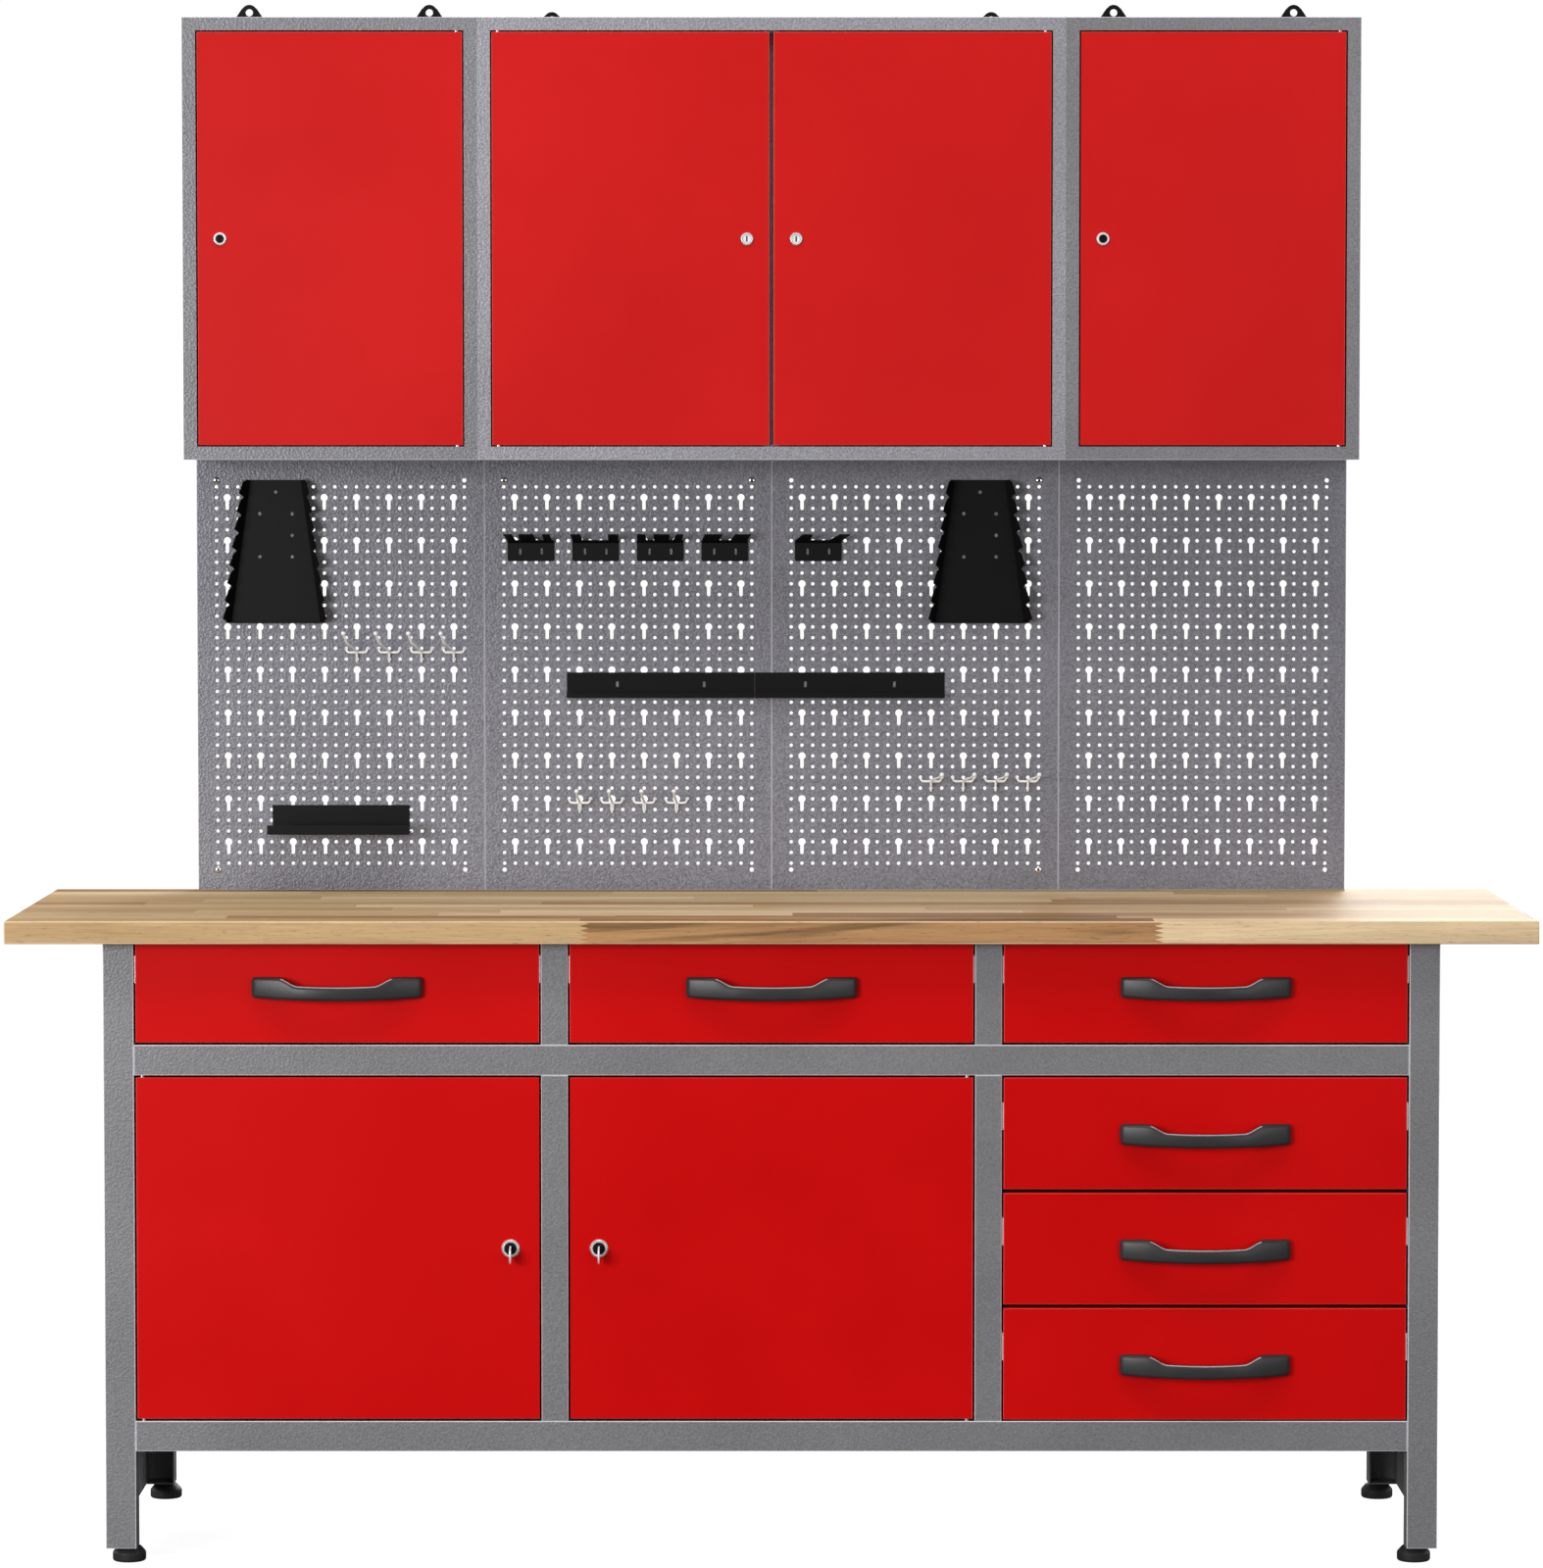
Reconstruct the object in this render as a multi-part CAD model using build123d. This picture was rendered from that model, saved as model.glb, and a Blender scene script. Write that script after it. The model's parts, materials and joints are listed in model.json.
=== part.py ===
from build123d import *
import math
import os

# Workbench with drawers and doors, perforated wall panels and wall cabinets.
# Millimetres. +X is to the right, the fronts face -Y, +Z is up.
# The origin is on the floor, under the middle of the worktop.

# ---- driving dimensions ----------------------------------------------------
WORKTOP_W = 2000.0
WORKTOP_D = 600.0
WORKTOP_T = 30.0
BENCH_H = 850.0
WALL_Y = WORKTOP_D / 2
WORKTOP_Z = BENCH_H - WORKTOP_T

FRAME_W = 1750.0
FRAME_FRONT = -265.0
FRAME_REAR = 285.0
LEG_W = 40.0
POST_W = 35.0
SHEET = 2.0
THIN = 1.5
FOOT_H = 20.0
FOOT_R = 22.0
FOOT_INSET = 28.0
RAIL_H = 40.0
RETURN_D = 25.0
LEG_RETURN_D = 38.0
BOTTOM_RAIL_Z = 149.0
MID_RAIL_Z = 645.0
TOP_RAIL_Z = 806.0

BAYS = 3
FRAME_X = FRAME_W / 2
INNER_X = FRAME_X - LEG_W
BAY_W = (2 * INNER_X - (BAYS - 1) * POST_W) / BAYS
FACE_INNER_Y = FRAME_FRONT + SHEET
RETURN_Y = FACE_INNER_Y + RETURN_D
FLOOR_Z = BOTTOM_RAIL_Z + RAIL_H
BACK_INNER_Y = FRAME_REAR - 2 * SHEET

FRONT_RECESS = 1.0
FRONT_T = 18.0
SIDE_GAP = 2.5
FRONT_Y = FRAME_FRONT + FRONT_RECESS
FRONT_BACK_Y = FRONT_Y + FRONT_T

TOP_DRAWER_Z = (688.0, 817.0)
COLUMN_DRAWERS_Z = ((495.0, 642.0), (343.0, 490.0), (191.0, 338.0))
TRAY_SIDE_GAP = 12.5
TRAY_D = 460.0
TRAY_LIFT = 8.0
TRAY_DROP = 17.0
RUNNER_H = 36.0
RUNNER_LIFT = 78.0
RUNNER_L = 490.0

HANDLE_L = 224.0
HANDLE_BOW = 32.0
TOP_HANDLE_SHIFT = 6.0
COLUMN_HANDLE_SHIFT = -3.0

BENCH_DOOR_Z = (192.0, 642.0)
HINGE_PIN_R = 3.0
HINGE_HOLE_R = 3.05
HINGE_IN = 8.0
HINGE_DEEP = 5.0
PIN_L = 13.0
CAM_SLOT_Z = (378.0, 440.0)

PANEL_W = 400.0
PANEL_H = 600.0
PANELS = 4
PANEL_FRONT_Y = 282.0
PANEL_BACK_Y = 298.0
PEG_PITCH = 15.0
PEG_R = 2.4
PEG_COLUMNS = 24
PEG_ROWS = 36
KEY_HEAD_R = 5.0
KEY_COLUMN_STEP = 3
KEY_ROW_STEP = 4
FIX_HOLE_R = 3.0
FIX_HOLE_X = 172.5
FIX_HOLE_Z = 271.5

CABINET_D = 200.0
CABINET_H = 600.0
CABINET_Z = BENCH_H + PANEL_H
CABINET_BACK_Y = 298.0
CABINET_FRONT_Y = CABINET_BACK_Y - CABINET_D
BORDER = 18.0
BORDER_RETURN = 20.0
DOOR_CLEAR = 2.0
CENTRE_GAP = 6.0
POST_HALF = 10.0
CABINET_DOOR_Y = CABINET_FRONT_Y + FRONT_RECESS

BENCH_LOCK = {"edge": 38.0, "rosette": 12.0, "body": 9.5, "plug": 7.5, "cam": 50.0, "cam_y": 20.0}
WALL_LOCK = {"edge": 30.5, "rosette": 9.0, "body": 7.5, "plug": 5.5, "cam": 28.0, "cam_y": 23.0}
PLUG_CLEAR = 0.05
ROSETTE_T = 3.0
CAM_T = 3.0
CAM_W = 14.0

EYELET_W = 51.0
EYELET_UP = 20.0
EYELET_HOLE_R = 5.0
EYELET_DOWN = 22.0
MIDDLE_EYELET_DROP = 10.0

BENCH_SHELF_Z = 380.0
BENCH_SHELF_FRONT = -150.0
BENCH_SHELF_LIP = 20.0
REAR_ANGLE_Z = 790.0
CABINET_X = {
    "left": (-2 * PANEL_W, -PANEL_W),
    "middle": (-PANEL_W, PANEL_W),
    "right": (PANEL_W, 2 * PANEL_W),
}
CABINET_SHELF_UP = 200.0
CABINET_SHELF_SETBACK = 42.0
CABINET_SHELF_LIP = 15.0
SIDE_EYELET_X = 125.0
MIDDLE_EYELET_X = 305.0

ACCESSORY_Y = PANEL_FRONT_Y - 0.4
TAB_R = 2.0
RACK_X = {"left": -690.0, "right": 290.0}
RACK_Z = 1223.0
RACK_H = 199.0
RACK_TOP_HALF = 36.0
RACK_BOTTOM_HALF = 63.0
RACK_FOLD = 11.0
RACK_SPLAY = 20.0
RACK_TEETH = 8
CLIP_HALF = 32.5
CLIP_Z = (1309.0, 1335.5)
CLIP_REACH = 34.0
CLIP_RISE = 20.0
STRIPS_X = ((-285.0, -24.0), (-23.0, 241.0))
STRIP_Z = (1119.0, 1154.0)
STRIP_D = 16.0
STRIP_LIP = 7.0
STRIP_SLOT_IN = 70.0
SMALL_SHELF_X = (-696.0, -505.0)
SMALL_SHELF_Z = (931.0, 969.0)
SMALL_SHELF_D = 62.0
SMALL_SHELF_LIP = 13.0
HOOK_WIRE_R = 1.7
HOOK_BALL_R = 3.2


# ---- helpers ---------------------------------------------------------------
def block(x, y, z):
    """A box from three (low, high) pairs."""
    size = [high - low for low, high in (x, y, z)]
    middle = [(high + low) / 2 for low, high in (x, y, z)]
    return Pos(*middle) * Box(*size)


def round_bar(start, end, radius):
    """A round bar between two points."""
    axis = Vector(*end) - Vector(*start)
    plane = Plane(origin=start, z_dir=axis)
    return extrude(plane * Circle(radius), amount=axis.length)


def write(name, solids):
    """One node: one STEP file holding every solid of the list."""
    parts = []
    for item in solids:
        parts.extend(item.solids())
    shape = parts[0] if len(parts) == 1 else Compound(children=parts)
    export_step(shape, f"parts/{name}.step")


def bay_x(index):
    """Left and right edge of a bay between the legs and posts."""
    left = -INNER_X + index * (BAY_W + POST_W)
    return (left, left + BAY_W)


def post_x(index):
    """Left and right edge of the post to the right of a bay."""
    left = bay_x(index)[1]
    return (left, left + POST_W)


def mirrored(x):
    """An x range mirrored about the middle plane."""
    return (-x[1], -x[0])


def both_sides(x):
    """An x range on the right and its mirror image on the left."""
    return (x, mirrored(x))


# ---- bench frame -----------------------------------------------------------
def worktop():
    x = (-WORKTOP_W / 2, WORKTOP_W / 2)
    y = (-WORKTOP_D / 2, WORKTOP_D / 2)
    return [block(x, y, (WORKTOP_Z, BENCH_H))]


def side_panels():
    y = (FACE_INNER_Y, FRAME_REAR - SHEET)
    z = (FOOT_H, WORKTOP_Z)
    return [block(x, y, z) for x in both_sides((FRAME_X - SHEET, FRAME_X))]


def legs():
    """Front and rear leg profiles: face, inner return and foot plate."""
    ends = (
        ((FRAME_FRONT, FACE_INNER_Y), (FACE_INNER_Y, FACE_INNER_Y + LEG_RETURN_D)),
        ((FRAME_REAR - SHEET, FRAME_REAR), (FRAME_REAR - SHEET - LEG_RETURN_D, FRAME_REAR - SHEET)),
    )
    z = (FOOT_H, WORKTOP_Z)
    pieces = []
    for face_y, return_y in ends:
        for x in both_sides((INNER_X, FRAME_X)):
            pieces.append(block(x, face_y, z))
        for x in both_sides((INNER_X, INNER_X + SHEET)):
            pieces.append(block(x, return_y, z))
        for x in both_sides((INNER_X + SHEET, FRAME_X - SHEET)):
            pieces.append(block(x, return_y, (FOOT_H, FOOT_H + SHEET)))
    return pieces


def front_rail(z_low):
    """A channel between the front legs, open to the rear."""
    x = (-INNER_X, INNER_X)
    z_high = z_low + RAIL_H
    return [
        block(x, (FRAME_FRONT, FACE_INNER_Y), (z_low, z_high)),
        block(x, (FACE_INNER_Y, RETURN_Y), (z_high - SHEET, z_high)),
        block(x, (FACE_INNER_Y, RETURN_Y), (z_low, z_low + SHEET)),
    ]


def hidden_rails():
    """Angles right under the worktop, behind the drawer fronts and at the rear."""
    x = (-INNER_X + SHEET, INNER_X - SHEET)
    face_y = FRONT_BACK_Y + 4.0
    return [
        block(x, (face_y, face_y + SHEET), (TOP_RAIL_Z, WORKTOP_Z)),
        block(x, (face_y + SHEET, face_y + SHEET + RETURN_D), (WORKTOP_Z - SHEET, WORKTOP_Z)),
        block(x, (BACK_INNER_Y, BACK_INNER_Y + SHEET), (REAR_ANGLE_Z, WORKTOP_Z)),
        block(x, (BACK_INNER_Y - RETURN_D, BACK_INNER_Y), (WORKTOP_Z - SHEET, WORKTOP_Z)),
    ]


def divider(index, has_cam_slots):
    """A hollow post: two face strips, their returns, and two side sheets."""
    left, right = post_x(index)
    upper_z = (MID_RAIL_Z + RAIL_H, WORKTOP_Z)
    lower_z = (FLOOR_Z, MID_RAIL_Z)
    face_y = (FRAME_FRONT, FACE_INNER_Y)
    return_y = (FACE_INNER_Y, RETURN_Y)
    sheet_y = (RETURN_Y, BACK_INNER_Y)
    lower_returns = [lower_z]
    if has_cam_slots:
        lower_returns = [(lower_z[0], CAM_SLOT_Z[0]), (CAM_SLOT_Z[1], lower_z[1])]
    pieces = [
        block((left, right), face_y, upper_z),
        block((left, right), face_y, lower_z),
    ]
    for x in ((left, left + SHEET), (right - SHEET, right)):
        pieces.append(block(x, return_y, (upper_z[0], TOP_RAIL_Z)))
        for z in lower_returns:
            pieces.append(block(x, return_y, z))
        pieces.append(block(x, sheet_y, (FLOOR_Z, WORKTOP_Z - SHEET)))
    return pieces


def back_panel():
    x = (-INNER_X, INNER_X)
    return [block(x, (FRAME_REAR - SHEET, FRAME_REAR), (BOTTOM_RAIL_Z, WORKTOP_Z))]


def floor_panel():
    x = (-INNER_X, INNER_X)
    return [block(x, (RETURN_Y, BACK_INNER_Y), (FLOOR_Z - SHEET, FLOOR_Z))]


def bench_shelves():
    """One shelf with a folded front lip in each of the two cupboards."""
    pieces = []
    floor_y = (BENCH_SHELF_FRONT, BACK_INNER_Y - 1.0)
    lip_y = (BENCH_SHELF_FRONT, BENCH_SHELF_FRONT + THIN)
    for index in (0, 1):
        left, right = bay_x(index)
        x = (left + 1.0, right - 1.0)
        pieces.append(block(x, floor_y, (BENCH_SHELF_Z, BENCH_SHELF_Z + THIN)))
        pieces.append(block(x, lip_y, (BENCH_SHELF_Z - BENCH_SHELF_LIP, BENCH_SHELF_Z)))
    return pieces


def foot_glides():
    """Four round plastic feet, each pressed up against a foot plate."""
    with BuildPart() as foot:
        with BuildSketch(Plane.XZ):
            with BuildLine():
                Polyline((0, 0), (20, 0), (FOOT_R, 2), (FOOT_R, 12), (15, FOOT_H), (0, FOOT_H), close=True)
            make_face()
        revolve(axis=Axis.Z)
    x = FRAME_X - FOOT_INSET
    pieces = []
    for y in (FRAME_FRONT + FOOT_INSET, FRAME_REAR - FOOT_INSET):
        for side in (-1, 1):
            pieces.append(Pos(side * x, y, 0) * foot.part)
    return pieces


# ---- drawers ---------------------------------------------------------------
def drawer_list():
    """Name, bay, height range and handle shift of each drawer."""
    rows = []
    for index, name in enumerate(("top_left", "top_middle", "top_right")):
        rows.append((f"drawer_{name}", index, TOP_DRAWER_Z, TOP_HANDLE_SHIFT))
    for name, z in zip(("upper", "middle", "lower"), COLUMN_DRAWERS_Z):
        rows.append((f"drawer_column_{name}", BAYS - 1, z, COLUMN_HANDLE_SHIFT))
    return rows


def fixed_runners():
    """The cabinet half of each runner: a channel that opens towards the drawer."""
    y = (FRONT_BACK_Y + 2.0, FRONT_BACK_Y + 2.0 + RUNNER_L)
    pieces = []
    for _, bay, z, _ in drawer_list():
        low = z[0] + RUNNER_LIFT
        high = low + RUNNER_H
        left, right = bay_x(bay)
        for edge, inward in ((left, 1), (right, -1)):
            web = sorted((edge, edge + inward * THIN))
            lip = sorted((edge + inward * THIN, edge + inward * 9.5))
            pieces.append(block(web, y, (low, high)))
            pieces.append(block(lip, y, (low, low + THIN)))
            pieces.append(block(lip, y, (high - THIN, high)))
    return pieces


def folded_front(x, z, y_front, holes=()):
    """A pan-shaped front: face sheet and four folded edges. Holes are (x, z, radius)."""
    y_face = (y_front, y_front + THIN)
    y_edge = (y_front + THIN, y_front + FRONT_T)
    face = block(x, y_face, z)
    for hole_x, hole_z, radius in holes:
        face -= round_bar((hole_x, y_front - 1, hole_z), (hole_x, y_front + THIN + 1, hole_z), radius)
    return [
        face,
        block(x, y_edge, (z[0], z[0] + THIN)),
        block(x, y_edge, (z[1] - THIN, z[1])),
        block((x[0], x[0] + THIN), y_edge, (z[0] + THIN, z[1] - THIN)),
        block((x[1] - THIN, x[1]), y_edge, (z[0] + THIN, z[1] - THIN)),
    ]


def drawer_front(bay, z):
    left, right = bay_x(bay)
    return folded_front((left + SIDE_GAP, right - SIDE_GAP), z, FRONT_Y)


def drawer_tray(bay, z):
    """An open steel box, the moving halves of its runners, and their front tabs."""
    left, right = bay_x(bay)
    x = (left + TRAY_SIDE_GAP, right - TRAY_SIDE_GAP)
    y = (FRONT_BACK_Y, FRONT_BACK_Y + TRAY_D)
    low, high = z[0] + TRAY_LIFT, z[1] - TRAY_DROP
    inner_x = (x[0] + THIN, x[1] - THIN)
    wall_z = (low + THIN, high)
    pieces = [
        block(x, y, (low, low + THIN)),
        block((x[0], x[0] + THIN), y, wall_z),
        block((x[1] - THIN, x[1]), y, wall_z),
        block(inner_x, (y[0], y[0] + THIN), wall_z),
        block(inner_x, (y[1] - THIN, y[1]), wall_z),
    ]
    runner_z = z[0] + RUNNER_LIFT
    web_z = (runner_z + 3.0, runner_z + RUNNER_H - 3.0)
    race_z = (runner_z + 12.0, runner_z + 24.0)
    tab_z = (runner_z, runner_z + RUNNER_H)
    for edge, inward in ((left, 1), (right, -1)):
        web = sorted((edge + inward * (TRAY_SIDE_GAP - THIN), edge + inward * TRAY_SIDE_GAP))
        race = sorted((edge + inward * 4.0, edge + inward * (TRAY_SIDE_GAP - THIN)))
        tab = sorted((edge + inward * 0.8, edge + inward * SIDE_GAP))
        pieces.append(block(web, y, web_z))
        pieces.append(block(race, y, race_z))
        pieces.append(block(tab, (FRONT_Y + 2.0, FRONT_BACK_Y), tab_z))
    return pieces


def handle(bay, z, shift):
    """A bow handle: its front outline and its plan outline, each extruded, and their overlap."""
    half = HANDLE_L / 2
    with BuildSketch(Plane.XZ) as front_view:
        with BuildLine():
            lower = ThreePointArc((-half, -8), (0, -14), (half, -8))
            right_end = Line(lower @ 1, (half, 15))
            right_pad = Line(right_end @ 1, (half - 36, 16))
            dip = Spline((half - 36, 16), (44, 5), (0, 1.5), (-44, 5), (36 - half, 16))
            left_pad = Line(dip @ 1, (-half, 15))
            Line(left_pad @ 1, lower @ 0)
        make_face()
    with BuildSketch(Plane.XY) as plan:
        with BuildLine():
            outer = ThreePointArc((-half, -9), (0, -HANDLE_BOW), (half, -9))
            Polyline(outer @ 1, (half, 0), (half - 34, 0), (half - 50, -14))
            inner = ThreePointArc((half - 50, -14), (0, 11 - HANDLE_BOW), (50 - half, -14))
            Polyline(inner @ 1, (34 - half, 0), (-half, 0), outer @ 0)
        make_face()
    body = extrude(front_view.sketch, amount=HANDLE_BOW + 2, both=True)
    body &= extrude(plan.sketch, amount=HANDLE_L, both=True)
    left, right = bay_x(bay)
    middle_z = (z[0] + z[1]) / 2 + shift
    return [Pos((left + right) / 2, FRONT_Y, middle_z) * body]


# ---- doors and locks -------------------------------------------------------
def door_list():
    """Each door: name, x range, z range, front plane, hinge side (+1 right), lock sizes, key."""
    rows = []
    for name, bay, hinge_side in (("bench_door_left", 0, -1), ("bench_door_middle", 1, 1)):
        left, right = bay_x(bay)
        x = (left + SIDE_GAP, right - SIDE_GAP)
        rows.append((name, x, BENCH_DOOR_Z, FRONT_Y, hinge_side, BENCH_LOCK, True))
    inset = BORDER + DOOR_CLEAR
    z = (CABINET_Z + inset, CABINET_Z + CABINET_H - inset)
    cabinet_doors = (
        ("cabinet_door_left", (CABINET_X["left"][0] + inset, CABINET_X["left"][1] - inset), 1),
        ("cabinet_door_middle_left", (CABINET_X["middle"][0] + inset, -CENTRE_GAP / 2), -1),
        ("cabinet_door_middle_right", (CENTRE_GAP / 2, CABINET_X["middle"][1] - inset), 1),
        ("cabinet_door_right", (CABINET_X["right"][0] + inset, CABINET_X["right"][1] - inset), 1),
    )
    for name, x, hinge_side in cabinet_doors:
        rows.append((name, x, z, CABINET_DOOR_Y, hinge_side, WALL_LOCK, False))
    return rows


def hinge_axis(x, y_front, hinge_side):
    """The vertical hinge line of a door, as (x, y)."""
    edge = x[1] if hinge_side > 0 else x[0]
    return (edge - hinge_side * HINGE_IN, y_front + HINGE_DEEP)


def lock_axis(x, z, hinge_side, lock):
    """The lock's centre on the door, as (x, z)."""
    edge = x[0] if hinge_side > 0 else x[1]
    return (edge + hinge_side * lock["edge"], (z[0] + z[1]) / 2)


def lock_barrel(at, y_front, lock):
    """The lock's fixed barrel: a rosette in front of the door and a tube through it."""
    lock_x, lock_z = at
    y_nose = y_front - ROSETTE_T
    y_end = y_front + 15.0
    barrel = round_bar((lock_x, y_nose, lock_z), (lock_x, y_front, lock_z), lock["rosette"])
    barrel = chamfer(barrel.edges().group_by(Axis.Y)[0], 1.2)
    barrel += round_bar((lock_x, y_front, lock_z), (lock_x, y_end, lock_z), lock["body"])
    bore_r = lock["plug"] + PLUG_CLEAR
    return barrel - round_bar((lock_x, y_nose - 1, lock_z), (lock_x, y_end + 1, lock_z), bore_r)


def door(x, z, y_front, hinge_side, lock):
    """The door pan with hinge holes in its top and bottom edges, and its lock barrel."""
    at = lock_axis(x, z, hinge_side, lock)
    pieces = folded_front(x, z, y_front, [(at[0], at[1], lock["body"] + 0.1)])
    hinge_x, hinge_y = hinge_axis(x, y_front, hinge_side)
    for index in (1, 2):
        z_low = pieces[index].bounding_box().min.Z
        hole = round_bar((hinge_x, hinge_y, z_low - 1), (hinge_x, hinge_y, z_low + 3), HINGE_HOLE_R)
        pieces[index] = pieces[index] - hole
    return pieces + [lock_barrel(at, y_front, lock)]


def key(lock_x, y_front, lock_z):
    """A flat key in the plug, its bow hanging in the plane of the blade."""
    blade = block((lock_x - 1, lock_x + 1), (y_front - 12, y_front - 1), (lock_z - 3.5, lock_z + 3.5))
    bow_at = (y_front - 17, lock_z - 8)
    bow = round_bar((lock_x - 1, *bow_at), (lock_x + 1, *bow_at), 10.5)
    bow -= round_bar((lock_x - 2, bow_at[0], bow_at[1] - 5), (lock_x + 2, bow_at[0], bow_at[1] - 5), 2.5)
    return blade + bow


def lock_plug(x, z, y_front, hinge_side, lock, has_key):
    """The part that the key turns: plug, cam on its rear end, cam nut, and the key if it is in."""
    lock_x, lock_z = lock_axis(x, z, hinge_side, lock)
    y_cam = y_front + lock["cam_y"]
    y_nose = y_front - ROSETTE_T + 0.6
    plug = round_bar((lock_x, y_nose, lock_z), (lock_x, y_front + 16, lock_z), lock["plug"])
    slot = block((lock_x - 1, lock_x + 1), (y_nose - 1, y_nose + 2), (lock_z - 4, lock_z + 4))
    plug -= slot
    plug += round_bar((lock_x, y_front + 16, lock_z), (lock_x, y_cam + CAM_T + 3, lock_z), 4.0)
    half = CAM_W / 2
    cam = block((lock_x - half, lock_x + half), (y_cam, y_cam + CAM_T), (lock_z - lock["cam"], lock_z))
    cam += round_bar((lock_x, y_cam, lock_z), (lock_x, y_cam + CAM_T, lock_z), half)
    turning = plug + cam
    if has_key:
        turning += key(lock_x, y_front, lock_z)
    return [turning]


def hinge_pins():
    """Two pins for each door, fixed to the frame above and below it."""
    pieces = []
    for _, x, z, y_front, hinge_side, _, _ in door_list():
        hinge_x, hinge_y = hinge_axis(x, y_front, hinge_side)
        low_gap = z[0] - (FLOOR_Z if y_front < 0 else CABINET_Z + BORDER)
        high_gap = (MID_RAIL_Z if y_front < 0 else CABINET_Z + CABINET_H - BORDER) - z[1]
        z_low, z_high = z[0] - low_gap, z[1] + high_gap
        pieces.append(round_bar((hinge_x, hinge_y, z_low), (hinge_x, hinge_y, z_low + PIN_L), HINGE_PIN_R))
        pieces.append(round_bar((hinge_x, hinge_y, z_high - PIN_L), (hinge_x, hinge_y, z_high), HINGE_PIN_R))
    return pieces


# ---- wall cabinets ---------------------------------------------------------
def cabinet_case(x, has_centre_post):
    """A steel case: five outer sheets, a front border and the border's returns."""
    z = (CABINET_Z, CABINET_Z + CABINET_H)
    y_border = (CABINET_FRONT_Y, CABINET_FRONT_Y + SHEET)
    y_shell = (CABINET_FRONT_Y + SHEET, CABINET_BACK_Y - THIN)
    y_return = (CABINET_FRONT_Y + SHEET, CABINET_FRONT_Y + BORDER_RETURN + SHEET)
    wall_z = (z[0] + THIN, z[1] - THIN)
    stile_z = (z[0] + BORDER, z[1] - BORDER)
    inner_x = (x[0] + BORDER, x[1] - BORDER)
    pieces = [
        block(x, y_shell, (z[0], z[0] + THIN)),
        block(x, y_shell, (z[1] - THIN, z[1])),
        block((x[0], x[0] + THIN), y_shell, wall_z),
        block((x[1] - THIN, x[1]), y_shell, wall_z),
        block(x, (CABINET_BACK_Y - THIN, CABINET_BACK_Y), z),
        block(x, y_border, (z[0], stile_z[0])),
        block(x, y_border, (stile_z[1], z[1])),
        block((x[0], inner_x[0]), y_border, stile_z),
        block((inner_x[1], x[1]), y_border, stile_z),
        block(inner_x, y_return, (stile_z[0] - THIN, stile_z[0])),
        block(inner_x, y_return, (stile_z[1], stile_z[1] + THIN)),
        block((inner_x[0] - THIN, inner_x[0]), y_return, (stile_z[0] - THIN, stile_z[1] + THIN)),
        block((inner_x[1], inner_x[1] + THIN), y_return, (stile_z[0] - THIN, stile_z[1] + THIN)),
    ]
    if has_centre_post:
        y_post = (CABINET_DOOR_Y + FRONT_T + 1.0, CABINET_DOOR_Y + FRONT_T + 1.0 + SHEET)
        pieces.append(block((-POST_HALF, POST_HALF), y_post, stile_z))
    return pieces


def cabinet_shelves():
    """One shelf with a folded front lip in each wall cabinet."""
    shelf_z = CABINET_Z + CABINET_SHELF_UP
    y_front = CABINET_FRONT_Y + CABINET_SHELF_SETBACK
    pieces = []
    for x in CABINET_X.values():
        inner = (x[0] + 2 * THIN, x[1] - 2 * THIN)
        pieces.append(block(inner, (y_front, CABINET_BACK_Y - 2 * THIN), (shelf_z, shelf_z + THIN)))
        pieces.append(block(inner, (y_front, y_front + THIN), (shelf_z - CABINET_SHELF_LIP, shelf_z)))
    return pieces


def eyelet(x, drop):
    """A rounded triangular hanging plate behind a cabinet's top edge."""
    half = EYELET_W / 2
    nose_r = 11.0
    with BuildSketch(Plane.XZ) as outline:
        Polygon((-half, 3), (half, 3), (10, 26), (-10, 26), align=None)
        with Locations((0, (3 - EYELET_DOWN) / 2)):
            RectangleRounded(EYELET_W, 3 + EYELET_DOWN, 2)
        with Locations((0, EYELET_UP)):
            Circle(nose_r)
            Circle(EYELET_HOLE_R, mode=Mode.SUBTRACT)
    plate = extrude(outline.sketch, amount=-(WALL_Y - CABINET_BACK_Y))
    return Pos(x, CABINET_BACK_Y, CABINET_Z + CABINET_H - drop) * plate


def hanging_brackets():
    """Two eyelets on each cabinet. Those of the wide cabinet sit a little lower."""
    pieces = []
    for side, (left, right) in CABINET_X.items():
        centre = (left + right) / 2
        is_wide = side == "middle"
        offset = MIDDLE_EYELET_X if is_wide else SIDE_EYELET_X
        drop = MIDDLE_EYELET_DROP if is_wide else 0.0
        pieces.append(eyelet(centre - offset, drop))
        pieces.append(eyelet(centre + offset, drop))
    return pieces


# ---- perforated panels -----------------------------------------------------
def peg_x(panel, column):
    """The x of a hole column of a panel."""
    left = (panel - PANELS / 2) * PANEL_W
    margin = (PANEL_W - (PEG_COLUMNS - 1) * PEG_PITCH) / 2
    return left + margin + column * PEG_PITCH


def peg_z(row):
    """The z of a hole row, counted from the top."""
    margin = (PANEL_H - (PEG_ROWS - 1) * PEG_PITCH) / 2
    return BENCH_H + PANEL_H - margin - row * PEG_PITCH


def circle_wire(x, z, radius):
    plane = Plane(origin=(x, PANEL_FRONT_Y, z), x_dir=(1, 0, 0), z_dir=(0, -1, 0))
    return Wire.make_circle(radius, plane)


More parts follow.
